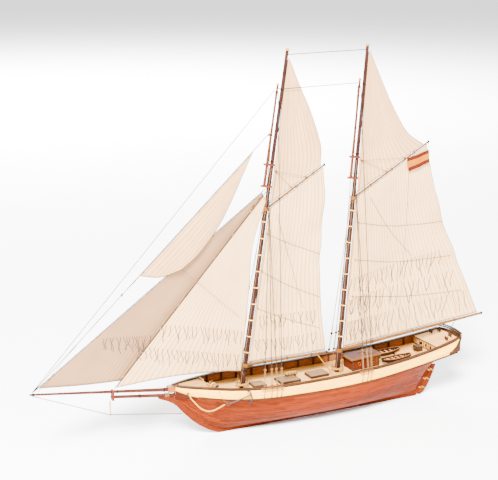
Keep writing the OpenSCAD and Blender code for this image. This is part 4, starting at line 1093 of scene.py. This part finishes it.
rigs = []  # x at the rail, masthead, lanyard length
for i, x in enumerate(FORE_SHROUDS):
    head = on_fore(234 - 3 * i) if i < 3 else on_fore(350, -6.2)
    rigs.append((x, head, 19))
for i, x in enumerate(MAIN_SHROUDS):
    head = on_main(234 - 3 * i) if i < 2 else on_main(350, -6.2)
    rigs.append((x, head, 23))
shroud_rope, eyes_port, eyes_star = Shape(), Shape(), Shape()


DEADEYE = [(0, 0.7), (0.05, 1.25), (0.3, 1.62), (0.6, 1.66), (0.75, 1.5), (0.95, 1.5), (1.1, 1.66),
           (1.4, 1.62), (1.65, 1.25), (1.7, 0.7)]


def deadeye(shape, p, tilt):
    """Turned disc with a scored edge, three holes drawn as dark plugs (painted shade), and a rope or iron
    strop.
    """
    shape.mat = 0
    shape.lathe(p - V((0, 0.85, 0)), (0, 1, 0), DEADEYE, 22)
    shape.mat = 1
    shape.ring(p, (0, 1, 0), 1.66, 0.22, 22, 6)
    # Dark plugs for the three holes: painted shade inside them
    for a in (90, 210, 330):
        c = p + V((0.75 * cos(radians(a)), 0, 0.75 * sin(radians(a)) * tilt))
        shape.lathe(c - V((0, 0.9, 0)), (0, 1, 0), [(0, 0.1), (0.02, 0.26), (1.78, 0.26), (1.8, 0.1)], 8)


for x, head, lift in rigs:
    low = eye_low(x)
    dirn = (head - low).normalized()
    high = low + dirn * lift
    top = head + V((0, mast_radius(234) + 0.5, 0))
    start = high + dirn * 1.8
    shroud_rope.mat = 0
    shroud_rope.tube([start.lerp(top, k / 12) for k in range(13)], 0.42, 8)
    for k in range(3):
        q = start + dirn * (1.6 + 2.6 * k)
        shroud_rope.lathe(q, dirn, [(0, 0.4), (0.15, 0.62), (0.85, 0.62), (1.0, 0.4)], 8)
    shroud_rope.tube([high + V((0.5, 0.1, 1.6)), start + dirn * 3 + V((0.45, 0, 0)), start + dirn * 9
                      + V((0.3, 0, 0))], 0.28, 6)
    shroud_rope.mat = 1
    for dx, s in ((-0.85, -0.5), (-0.5, 0.5), (0, -0.5), (0.5, 0.5), (0.85, -0.5)):
        a = low + V((dx, s, 0.8 if abs(dx) > 0.2 else 0.4))
        b = high + V((dx * 0.9, s, -0.8 if abs(dx) > 0.2 else -0.4))
        shroud_rope.tube([a, a.lerp(b, 0.5) + V((0.1 * s, 0, 0)), b], 0.19, 6)
    shroud_rope.mat = 2
    foot = V((x + 0.5, breadth(x, wale_h(x) + 2) + 0.75, wale_h(x) + 1.4))
    shroud_rope.tube([low + V((0, 1.2, -0.4)), low + V((0, 1.2, -4.0)), low + V((0.1, 1.15, -4.4)), foot],
                     0.32, 8)
    shroud_rope.lathe(foot - V((0, 0.3, 0)), (0, 1, 0.1), [(0, 0.6), (0.4, 0.75), (0.75, 0.55), (0.9, 0.2)],
                      12)
    for shape, s in ((eyes_port, -1), (eyes_star, 1)):
        deadeye(shape, V((low.x, s * low.y, low.z)), 1)
        deadeye(shape, V((high.x, s * high.y, high.z)), -1)
shroud_rope.mirrored()
make("shroud_ropes", shroud_rope, [M["black_line"], M["tan_line"], M["brown_line"]], replaces="shrouds")
# The starboard deadeyes are black while the port ones are light wood: painted shade of the far side
make("deadeyes_port", eyes_port, [M["light"], M["brown_line"]], replaces="deadeyes")
make("deadeyes_starboard", eyes_star, [M["black"], M["brown_line"]])

stay_rope = Shape()


def stay(a, b, r=0.45, n=16):
    a, b = V(a), V(b)
    stay_rope.mat = 0
    stay_rope.tube([a.lerp(b, k / n) for k in range(n + 1)], r, 8)
    d = (b - a).normalized()
    if (b - a).length > 40:
        for end, s in ((a, 1), (b, -1)):
            for k in range(2):
                stay_rope.lathe(end + d * s * (3 + 3 * k), d * s, [(0, 0.38), (0.15, 0.58), (0.9, 0.58),
                        (1.05, 0.38)], 8)


stay(JIB_TIP + V((3, 0, 2)), on_fore(352, -8.5))
stay(*FLYING_STAY)
stay(*JIB_STAY)
stay(on_fore(392, 1.9), on_main(392, -1.9))
stay(on_fore(353, -4.8), on_fore(353.4, 0, -2.7), n=3)
stay(on_fore(353.4, 0.8, -2.7), on_main(353, -8.5))
stay(JIB_TIP + V((3, 0, -2)), STRIKER + V((-1.2, 0, 1)))
stay(STRIKER + V((1.2, 0, 1)), V((-187.2, 0, 31)))
stay_rope.mat = 1
stay_rope.tube([FORESTAY[0].lerp(FORESTAY[1], k / 16) for k in range(17)], 0.5, 8)
make("stay_ropes", stay_rope, [M["black_line"], M["brown_line"]], replaces="stays")

# Main sheet: two parts between the deck block and the boom, across the swing
sheet_rope = Shape()
low, high = V((187.6, 0, 84.6)), along(MAIN_BOOM, 0.8, -2.6)
for dy in (-0.55, 0.55):
    sheet_rope.tube([low.lerp(high, k / 14) + V((0, dy, 0)) for k in range(15)], 0.26, 7)
sheet_obj = make("main_sheet_rope", sheet_rope, M["black_line"], None)
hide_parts("main_sheet")
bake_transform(sheet_obj)

# --- running rigging on the hull --------------------------------------------------
gear = Shape()
TACK_BLOCK = V((-257.2, -0.3, 182.3))


def straight(a, b, steps, r=0.24):
    gear.tube([a.lerp(b, k / steps) for k in range(steps + 1)], r, 7)


straight(TACK_BLOCK, luff(FLYING_STAY, 0.44) + V((0, -0.3, 0)), 8, 0.26)
gear.tube(spline([TACK_BLOCK, V((-300, -0.6, 143)), JIB_TIP + V((9, -1.4, 2))], 12), 0.26, 7)
# Sheets of the headsails: clew to the fore deck
straight(V((-134, 8.6, 82)), V((-128, 26, rail_h(-128) + 1)), 8)
straight(V((-113, -2.4, 72)), V((-104, -3, deck_h(-104) + 8)), 8)
straight(V((-186.2, -2.6, 203.8)), V((-116, -4.2, 140)), 8)
# Two falls down the fore side of each mast
for on in (on_fore, on_main):
    for dy in (-2.6, 2.6):
        gear.tube([on(mix(262, 8, t), mix(-1.6, -4.6, t), mix(dy, dy * 1.9, t))
                   for t in [k / 10 for k in range(11)]], 0.24, 7)
# Cat fall from the rail to the anchor ring
gear.tube([V((-153.5, -29.9, 64.5)), V((-153.0, -31.6, 58)), V((-147, -31.2, 50)), V((-143.4, -30.9, 46.6))],
          0.22, 7)
gear.mat = 1
block(gear, TACK_BLOCK, (0, 1, 0), 1.3, (1, 0, 1))
block(gear, V((-96.3, -1.6, 267.2)), (0, 1, 0), 1.5, (0.2, 0, 1))
block(gear, V((-89.0, -1.8, 274.9)), (0, 1, 0), 1.4, (0.2, 0, 1))
block(gear, on_fore(300, -8.6), (0, 1, 0), 1.2, (0.7, 0, 1))
make("running_gear", gear, [M["tan_line"], M["light"], M["brown_line"]])

# --- spar bands and collars ---------------------------------------------------------
bands = Shape()


def band(p, axis, r, w):
    """Black collar of width w, centred at p, on a spar of radius r."""
    bands.lathe(V(p) - V(axis).normalized() * w / 2, axis, [(0, r + 0.02), (0.1, r + 0.3),
                                                            (w - 0.1, r + 0.3), (w, r + 0.02)], 24)


jd, bd = (JIB_TIP - JIB_HEEL).normalized(), (BOROWSHEAD - BOROWSHEEL).normalized()
band(JIB_TIP - jd * 4, jd, 1.15, 2.4)
band(JIB_HEEL.lerp(JIB_TIP, 0.38), jd, 1.75, 1.4)
band(JIB_HEEL.lerp(JIB_TIP, 0.03), jd, 2.1, 2)
band(BOROWSHEEL.lerp(BOROWSHEAD, 0.55), bd, 1.95, 1.4)
for on, ax in ((on_fore, FORE_UP), (on_main, MAIN_UP)):
    band(on(1.4), ax, 3.2, 2.2)
    for h in (234, 246, 270, 352):
        band(on(h), ax, mast_radius(h), 1.5)
    for h in (300, 349, 353):
        band(on(h, -6.2), ax, mix(1.7, 1.2, (h - 240) / 116), 1.0)
band(on_main(203), MAIN_UP, mast_radius(203), 2.6)
band(on_fore(21.5), FORE_UP, mast_radius(21.5), 2.4)
band(STRIKER + V((0, 0, 1.2)), (0, 0, 1), 0.7, 1)
make("mast_bands", bands, M["black"])
for tag, body, spars in (("fore", "fore_sails", (FORE_BOOM, FORE_GAFF)),
                         ("main", "main_sails", (MAIN_BOOM, MAIN_GAFF))):
    bands = Shape()
    for (a, b), r in zip(spars, (2.0, 1.6)):
        d = (b - a).normalized()
        tip = r * (0.75 if tag == "main" and r == 2.0 else 0.7)
        root = r * (1.1 if tag == "main" and r == 2.0 else 1)
        band(b - d * 1.3, d, tip, 2.4)
        for t in (0.22, 0.5, 0.8):
            band(a.lerp(b, t), d, mix(root, tip, t), 1.0)
    make(tag + "_spar_bands", bands, M["black"], body)

# --- deck fittings --------------------------------------------------------------------
def deck_turn(x):
    """Slope of the deck at x, and the point where a fitting stands."""
    return Matrix.Rotation(-math.atan(deck_h(x + 1) - deck_h(x)), 3, "Y"), V((x, 0, deck_h(x) + 0.75))


HATCHES = [(-90, 16, 17, 2.4), (-50, 20, 27, 2.6), (-9.5, 18, 25, 3.0)]  # x, width, length, height
hatch = Shape()
for x, w, l, h in HATCHES:
    turn, at = deck_turn(x)
    hatch.mat = 0
    for s in (-1, 1):
        hatch.tone = rng.uniform(-1, 1)
        y = s * (w / 2 - 0.6)
        hatch.box((-l / 2, y - 0.6, 0), (l / 2, y + 0.6, h), turn, at)
        hatch.tone = rng.uniform(-1, 1)
        xx = s * (l / 2 - 0.6)
        hatch.box((xx - 0.6, -w / 2 + 1.25, 0), (xx + 0.6, w / 2 - 1.25, h), turn, at)
    hatch.mat = 1
    count = int((l - 2.6) / 1.9)
    for i in range(count + 1):
        hatch.tone = rng.uniform(-1, 1)
        xx = mix(-l / 2 + 1.9, l / 2 - 1.9, i / count)
        hatch.box((xx - 0.42, -w / 2 + 1.3, h - 0.85), (xx + 0.42, w / 2 - 1.3, h - 0.12), turn, at, 0.08)
    count = int((w - 2.6) / 1.9)
    for i in range(count + 1):
        hatch.tone = rng.uniform(-1, 1)
        yy = mix(-w / 2 + 1.9, w / 2 - 1.9, i / count)
        hatch.box((-l / 2 + 1.3, yy - 0.42, h - 0.8), (l / 2 - 1.3, yy + 0.42, h - 0.05), turn, at, 0.08)
    # Black board under the grating: painted shade of the hold below it
    hatch.mat = 2
    hatch.box((-l / 2 + 1.3, -w / 2 + 1.3, 0.1), (l / 2 - 1.3, w / 2 - 1.3, 0.9), turn, at)
# The pump's cheeks, with a boss at the brake's pivot
PUMP = V((7, -6, deck_h(MAIN_X) + 3))
hatch.mat = 3
for s in (-1, 1):
    hatch.box(PUMP + V((-1, s * 1.4 - 0.4, -2.2)), PUMP + V((1, s * 1.4 + 0.4, 1.2)))
    hatch.lathe(PUMP + V((0, s * 1.4 - 0.55, 0)), (0, 1, 0), [(0, 0.4), (0.1, 0.75), (1.0, 0.75),
                                                              (1.1, 0.4)], 14)
make("hatch_coamings", hatch, [M["walnut"], M["cover"], M["black"], M["pale_up"]], replaces="hatches")

cask = Shape()
axis, c0 = V((1, 0, 0)), V((-50, 8, deck_h(-41.5) + 6))
profile = [(8.5 + 8.5 * s, 1.75 + 0.65 * (1 - s * s)) for s in run(-1, 1, 14)]
for k in range(12):
    a0, a1 = 2 * pi * k / 12 + 0.02, 2 * pi * (k + 1) / 12 - 0.02
    cask.tone = rng.uniform(-1, 1)
    cask.loft([[c0 + axis * h + V((0, cos(a), sin(a))) * r for a, r in
                ((a0, rr - 0.04), ((a0 + a1) / 2, rr), (a1, rr - 0.04), (a1, rr - 0.5), (a0, rr - 0.5))]
               for h, rr in profile])
cask.lathe(c0 + axis * 0.5, axis, [(0, 1.5), (0.3, 1.6), (15.7, 1.6), (16, 1.5)], 20)
cask.mat = 1
for h in (1.2, 4.6, 8.5, 12.4, 15.8):
    rr = 1.75 + 0.65 * (1 - ((h - 8.5) / 8.5) ** 2)
    cask.lathe(c0 + axis * (h - 0.45), axis, [(0, rr - 0.1), (0.02, rr + 0.14), (0.88, rr + 0.14),
                                              (0.9, rr - 0.1)], 24)
cask.mat = 2
for h in (3, 14):
    p = c0 + axis * h
    cask.box((p.x - 0.7, 5.6, deck_h(-41.5) + 0.7), (p.x + 0.7, 10.4, deck_h(-41.5) + 4.3))
cask.lathe(c0 + axis * 8.5 + V((0, 0, 2.3)), (0, 0, 1), [(0, 0.45), (0.3, 0.45), (0.4, 0.3)], 12)
make("cask_staves", cask, [M["pale"], M["iron"], M["walnut"]], replaces="water_cask")

PIN_HANDLE = [(0, 0.7), (0.2, 0.72), (0.4, 0.42), (0.9, 0.36), (1.7, 0.6), (2.2, 0.52), (2.4, 0.2)]
PIN_CIRCLE = 6.6
pins = Shape()
for mx, mz in ((FORE_X, deck_h(FORE_X)), (MAIN_X, deck_h(MAIN_X))):
    for a in range(30, 351, 40):
        if abs(abs(a - 180) - 90) > 14:
            p = V((mx + PIN_CIRCLE * cos(radians(a)), PIN_CIRCLE * sin(radians(a)), mz + 3.4))
            pins.mat = 0
            pins.lathe(p, (0, 0, 1), [(0, 0.28), (0.2, 0.38), (1.6, 0.42), (1.62, 0.42)], 10)
            pins.lathe(p + V((0, 0, 3.0)), (0, 0, 1), PIN_HANDLE, 12)
            pins.mat = 1
            for k in range(3):
                pins.ring(p + V((0, 0, 3.75 + 0.22 * k)), (sin(a), cos(a), 3.4), 0.62, 0.2, 14, 6)
            pins.ring(p + V((0.5 * cos(radians(a)), 0.5 * sin(radians(a)), 2.0)),
                      (cos(radians(a)), sin(radians(a)), 0.2), 0.9, 0.2, 16, 6, 1)
make("belaying_pins_turned", pins, [M["brass"], M["tan_line"]], replaces="belaying_pins")

# Stern rail: two curved bars on turned balusters, following the transom's camber
RAIL_BAR = [(0.2, 0), (3.4, 0), (3.6, 0.2), (3.6, 0.7), (3.4, 0.9), (0.2, 0.9), (0, 0.7), (0, 0.2)]
BALUSTER = [(0, 0.7), (0.25, 0.7), (0.4, 0.42), (0.85, 0.66), (1.3, 0.42), (1.45, 0.7), (1.75, 0.7)]
rail = Shape()
for z in (0, 1):
    rings = []
    for y in run(-25, 25, 24):
        c = 1 - y * y / 625
        base, x = 79.1 + 1.5 * c + z * 2.6, 183.4 + 2.6 * c
        rings.append([V((x + a, y, base + b)) for a, b in RAIL_BAR])
    rail.loft(rings)
rail.mat = 1
for y in range(-24, 25, 4):
    c = 1 - y * y / 625
    rail.tone = rng.uniform(-1, 1)
    rail.lathe((185.2 + 2.6 * c, y, 80.0 + 1.5 * c), (0, 0, 1), BALUSTER, 14)
make("stern_rail_balusters", rail, [M["dark"], M["pale_up"]], replaces="stern_rail")

SPOKE = [(0, 0.26), (0.5, 0.3), (1.1, 0.2), (2.0, 0.26), (2.3, 0.2), (2.9, 0.2), (3.0, 0.16), (3.4, 0.26),
         (3.75, 0.24), (3.85, 0.1)]
WHEEL_HUB = [(0, 0.4), (0.2, 0.62), (1.1, 0.7), (1.2, 1.15), (2.5, 1.15), (2.6, 0.79), (8, 0.79)]
wheel = Shape()
hub = V((133, 0, deck_h(133) + 5.4))
wheel.ring(hub + V((-1.5, 0, 0)), (1, 0, 0), 3.2, 0.42, 40, 10)
for a in angles(8):
    d = V((0, cos(a), sin(a)))
    wheel.lathe(hub + V((-1.5, 0, 0)) + d * 0.6, d, SPOKE, 8)
wheel.mat = 1
wheel.lathe(hub + V((-3.4, 0, 0)), (1, 0, 0), WHEEL_HUB, 18)
make("wheel_spokes", wheel, [M["walnut"], M["brass"]], "helm", "helm_wheel")

barrel = Shape()
wz = V((-146, 0, deck_h(-146) + 5))
for a in angles(8):
    d, e = V((cos(a), 0, sin(a))), V((-sin(a), 0, cos(a)))
    barrel.tone = rng.uniform(-1, 1)
    barrel.loft([[wz + V((0, y, 0)) + d * (2.2 + o) + e * (0.45 * w) for o, w in ((0, -1), (hgt, -0.75),
            (hgt, 0.75), (0, 1))]
                 for y, hgt in ((-6.4, 0.15), (-5.6, 0.5), (-1, 0.32), (1, 0.32), (5.6, 0.5), (6.4, 0.15))])
barrel.mat = 1
for y in (-6.45, -0.4, 5.65):
    barrel.lathe(wz + V((0, y, 0)), (0, 1, 0), [(0, 2.3), (0.08, 2.78), (0.72, 2.78), (0.8, 2.3)], 24)
barrel.mat = 2
for k in range(5):
    barrel.ring(wz + V((0, 1.6 + k * 0.72, 0)), (0.12, 1, 0), 2.95, 0.36, 30, 8)
make("windlass_whelps", barrel, [M["pale"], M["iron"], M["cable"]], "windlass")

# --- deckhouse trim --------------------------------------------------------------------
house = Shape()
turn, at = deck_turn(53.75)
L, W, H = 18.25, 10.0, 13.6  # half length, half width and height of the walls
for sx in (-1, 1):
    for sy in (-1, 1):
        house.box((sx * L - 0.9, sy * W - 0.9, 0.3), (sx * L + 0.9, sy * W + 0.9, H + 0.2), turn, at)
for z in (0.35, H - 1.0):
    for sy in (-1, 1):
        for a, b in (((-L, L),) if sy > 0 or z > 5 else ((-L, 6.4), (15.6, L))):
            house.box((a, sy * (W + 0.32) - 0.32, z), (b, sy * (W + 0.32) + 0.32, z + 1.1), turn, at)
    for sx in (-1, 1):
        house.box((sx * (L + 0.32) - 0.32, -W, z), (sx * (L + 0.32) + 0.32, W, z + 1.1), turn, at)
house.mat = 1
for k in range(9):
    y = -12 + 24 * k / 9
    house.tone = rng.uniform(-1, 1)
    house.box((-20.7, y + 0.06, H + 1.98), (20.7, y + 24 / 9 - 0.06, H + 2.45), turn, at, 0.12)
house.mat = 2
for sy in (-1, 1):
    house.box((-21.1, sy * 12.1 - 0.35, H + 0.3), (21.1, sy * 12.1 + 0.35, H + 2.55), turn, at)
for sx in (-1, 1):
    house.box((sx * 21 - 0.35, -12, H + 0.3), (sx * 21 + 0.35, 12, H + 2.55), turn, at)
# Door frame, standing clear of the leaf's swing
house.box((5.6, -W - 0.75, 0.6), (6.5, -W - 0.02, 12), turn, at)
house.box((15.7, -W - 0.75, 0.6), (16.5, -W - 0.02, 12), turn, at)
house.box((5.6, -W - 0.75, 11.6), (16.5, -W - 0.02, 12.5), turn, at)
house.mat = 3
for sy in (-1, 1):
    c = at + turn @ V((-8.8, sy * (W + 0.1), 7.5))
    house.ring(c, turn @ V((0, 1, 0)), 1.75, 0.42, 28, 10)
# Black disc inside each porthole ring: painted shade of the opening
house.mat = 4
for sy in (-1, 1):
    c = at + turn @ V((-8.8, sy * (W - 0.6), 7.5))
    house.lathe(c - turn @ V((0, 0.1, 0)), turn @ V((0, 1, 0)), [(0, 1.2), (0.02, 1.45), (0.18, 1.45),
            (0.2, 1.2)], 20)
# Sliding hatch on the roof, with its runners
house.mat = 1
house.box((4, -4.5, H + 2.4), (14, 4.5, H + 3.9), turn, at, 0.3)
house.mat = 2
for s in (-1, 1):
    house.box((-3, s * 5 - 0.4, H + 2.4), (15, s * 5 + 0.4, H + 3.4), turn, at)
make("deckhouse_trim", house, [M["walnut_up"], M["keel_trim"], M["light"], M["brass"], M["black"]])
# The door's knob and two panels, which swing with it
knob = Shape()
knob.mat = 1
knob.lathe(at + turn @ V((8.3, -W - 0.1, 6)), turn @ V((0, -1, 0)), [(0, 0.25), (0.4, 0.25), (0.55, 0.5),
        (0.9, 0.5), (1.05, 0.25)], 12)
knob.mat = 0
for z0, z1 in ((2.5, 5.6), (6.4, 10.2)):
    for a, b, c, d in ((8.2, z0, 13.8, z0 + 0.5), (8.2, z1 - 0.5, 13.8, z1), (8.2, z0 + 0.5, 8.7, z1 - 0.5),
                       (13.3, z0 + 0.5, 13.8, z1 - 0.5)):
        knob.box((a, -W - 0.42, b), (c, -W - 0.18, d), turn, at, 0.08)
make("door_panels", knob, [M["light"], M["brass"]], "door")

# --- dinghies ---------------------------------------------------------------------------
def boat_b(t, w):
    """Half-breadth of a dinghy of beam w at share t of its length."""
    return max(w / 2 * sin(radians(mix(20, 172, t))) ** 0.7, 0.5)


BOAT_LONG, BOAT_BEAM = 42, 13
boats = Shape()
boat_turn = Matrix.Rotation(radians(-2.5), 3, "Y")
# Laps of the strakes: (share of the half-breadth, share of the height)
LAPS = [(0.0, 0.0), (0.45, 0.13), (0.7, 0.33), (0.86, 0.57), (0.95, 0.79), (1.0, 1.0)]
for by in (-13, 13):
    at_b = V((97, by, deck_h(97) + 1.4))
    put = lambda p: at_b + boat_turn @ V(p)
    for side_ in (-1, 1):
        for k in range(5):
            boats.tone = rng.uniform(-1, 1)
            boats.mat = 0
            rings = []
            for t in run(0, 1, 22):
                b, rise = boat_b(t, BOAT_BEAM), 3.2 * (abs(t - 0.5) * 2) ** 3
                x = mix(-BOAT_LONG / 2, BOAT_LONG / 2, t)
                topz = 6 + rise / 3

                def at_share(q, out):
                    (y0, z0), (y1, z1) = LAPS[k], LAPS[k + 1]
                    y, z = mix(y0, y1, q), mix(z0, z1, q)
                    return V((x, side_ * max(b * y - out, 0.02), rise + (topz - rise) * z))
                rings.append([put(p) for p in (at_share(0, 0), at_share(1, 0), at_share(1, 0.75),
                                               at_share(0, 0.55))])
            boats.loft(rings)
        boats.mat = 1
        boats.tone = 0.3
        boats.tube([put((mix(-BOAT_LONG / 2, BOAT_LONG / 2, t), side_ * (boat_b(t, BOAT_BEAM) + 0.1),
                         6 + 3.2 * (abs(t - 0.5) * 2) ** 3 / 3)) for t in run(0, 1, 26)], 0.42, 8)
    boats.mat = 1
    for t in (0.22, 0.38, 0.54, 0.7):
        boats.tone = rng.uniform(-1, 1)
        b = boat_b(t, 12) - 0.3
        x = mix(-BOAT_LONG / 2, BOAT_LONG / 2, t)
        boats.box((x - 1.2, -b, 4.3), (x + 1.2, b, 4.95), boat_turn, at_b)
    boats.box((-BOAT_LONG / 2 + 6, -0.5, 0.5), (BOAT_LONG / 2 - 6, 0.5, 1.1), boat_turn, at_b)
    for t in run(0.14, 0.86, 12):
        b, rise = boat_b(t, BOAT_BEAM), 3.2 * (abs(t - 0.5) * 2) ** 3
        x = mix(-BOAT_LONG / 2, BOAT_LONG / 2, t)
        boats.tube([put((x, s * max(b * y - 0.85, 0), rise + (6 + rise / 3 - rise) * z
                         + (0.25 if y < 0.3 else 0)))
                    for s, (y, z) in [(-1, LAPS[q]) for q in (4, 3, 2, 1)]
                    + [(1, LAPS[q]) for q in (1, 2, 3, 4)]], 0.24, 6)
    boats.mat = 2
    for x in (-11, 11):
        boats.box((x - 0.9, -5.2, -0.7), (x + 0.9, 5.2, 0.9), boat_turn, at_b)
make("dinghy_strakes", boats, [M["boat"], M["inner"], M["walnut"]], replaces="dinghies",
     sharp=28)

# --- anchor ------------------------------------------------------------------------------
iron = Shape()
ring_c, crown = V((-142.8, -30.6, 45.6)), V((-117.6, -38.8, 55.6))
arm_a, arm_b = V((-122.6, -38.6, 62.4)), V((-117.4, -37.6, 45))
iron.tube([ring_c + V((1.6, -0.5, 0.6)), ring_c.lerp(crown, 0.5), crown], [0.55, 0.7, 0.9], 10)
iron.ring(ring_c, V((0.5, 0.87, 0)), 1.5, 0.34, 24, 8)
mid_a = crown.lerp(arm_a, 0.5) + (crown - ring_c).normalized() * 1.6
mid_b = crown.lerp(arm_b, 0.5) + (crown - ring_c).normalized() * 1.6
iron.tube(spline([arm_a, mid_a, crown, mid_b, arm_b], 22), [0.4, 0.5] + [mix(0.6, 1.0, 1 - abs(k - 9) / 9)
        for k in range(19)] + [0.5, 0.4], 10)
shank = (ring_c - crown).normalized()
for tip, mid in ((arm_a, mid_a), (arm_b, mid_b)):
    d = (tip - mid).normalized()
    inward = (shank - d * shank.dot(d)).normalized()
    across = d.cross(inward)
    iron.loft([[tip + d * s + across * w * k + inward * (0.55 + o) for k,
                o in ((-1, 0.25), (0, 0.5), (1, 0.25), (0, 0))]
               for s, w in ((-3.4, 0.25), (-2.6, 1.5), (-1.2, 1.9), (0.4, 0.8), (0.9, 0.15))])
iron.lathe(ring_c.lerp(crown, 0.12), shank, [(0, 0.8), (0.2, 1.0), (1.0, 1.0), (1.2, 0.8)], 12)
make("anchor_forging", iron, M["iron"], replaces="anchor")

# --- bow details ---------------------------------------------------------------------------
bow = Shape()
hawse_x, hawse_z = -183.6, 58.6
hawse_b, outward = breadth(hawse_x, hawse_z), V((-0.28, 0.96, 0))
bow.ring(V((hawse_x, hawse_b + 0.15, hawse_z)), outward, 1.5, 0.42, 26, 10)
# Black plug inside the hawse ring: painted shade of the hole
bow.mat = 1
bow.lathe(V((hawse_x, hawse_b - 0.35, hawse_z)), outward, [(0, 1.0), (0.02, 1.35), (0.42, 1.35),
                                                           (0.44, 1.0)], 20)
bow.mirrored()
bow.mat = 2
for s in (-1, 1):
    bow.box((-205.2, s * 3.0 - 0.75, 60.4), (-197.5, s * 3.0 + 0.75, 66.2))
bow.box((-205.4, -3.7, 65.9), (-198.4, 3.7, 67.2))
make("bow_fittings", bow, [M["brass"], M["black"], M["inner"]])

# Gammoning round the bowsprit, and the dark trim of the quarterdeck's front
trim = Shape()
for k in range(6):
    p = BOROWSHEEL.lerp(BOROWSHEAD, 0.09 + 0.012 * k)
    trim.ring(p, bd, 2.35, 0.36, 24, 8)
make("gammoning", trim, M["tan_line"])
front = Shape()
w_q = rail_b(149) - 2.6
for z0, z1 in ((rail_h(148) - 2.2, rail_h(148) - 1.2), (deck_h(148) + 0.6, deck_h(148) + 1.4)):
    front.box((147.5, -w_q, z0), (148.15, w_q, z1))
for s in (-1, 0, 1):
    for dy in (-3.0, 3.0):
        front.box((147.6, s * 10 + dy - 0.35, deck_h(148) + 1.5), (148.15, s * 10 + dy + 0.35, rail_h(148)
                - 2.3))
make("quarterdeck_front_trim", front, M["dark"])

# --- light, floor ---------------------------------------------------------------------------
WORLD_STRENGTH, FLOOR_HALF, FLOOR_Z = 1.75, 14, -0.05  # the floor in metres, its height in mm
world = bpy.data.worlds.new("studio")
bpy.context.scene.world = world
world.use_nodes = True
world.node_tree.nodes["Background"].inputs[0].default_value = (1, 1, 1, 1)
world.node_tree.nodes["Background"].inputs[1].default_value = WORLD_STRENGTH


def area(name, where, aim, size, power):
    """Square area light; metres and watts."""
    data = bpy.data.lights.new(name, "AREA")
    data.size = size
    data.energy = power
    obj = bpy.data.objects.new(name, data)
    obj.location = where
    obj.rotation_euler = (V(aim) - V(where)).to_track_quat("-Z", "Y").to_euler()
    bpy.context.collection.objects.link(obj)


area("key", (-1.2, -1.6, 2.0), (0, 0, 0.15), 0.8, 900)
area("fill", (1.6, -1.8, 1.0), (0, 0, 0.15), 1.8, 50)
area("back", (0.6, 3.6, 2.2), (0.6, 4.2, 0), 3.0, 1500)
floor_n = Nodes("floor", rough=0.9)
floor_mat = floor_n.done(floor_n.ramp(floor_n.noise(floor_n.coords(scale=(1, 1, 1)), 3.0),
                                      [(0.3, (0.93, 0.93, 0.93)), (0.7, (0.96, 0.96, 0.96))]))
ground = Shape()
ground.v = [V((x * FLOOR_HALF * 1000, y * FLOOR_HALF * 1000, FLOOR_Z)) for x,
            y in ((-1, -1), (1, -1), (1, 1), (-1, 1))]
ground.face([0, 1, 2, 3], [(0, 0), (1, 0), (1, 1), (0, 1)])
floor = make("floor", ground, floor_mat, None)
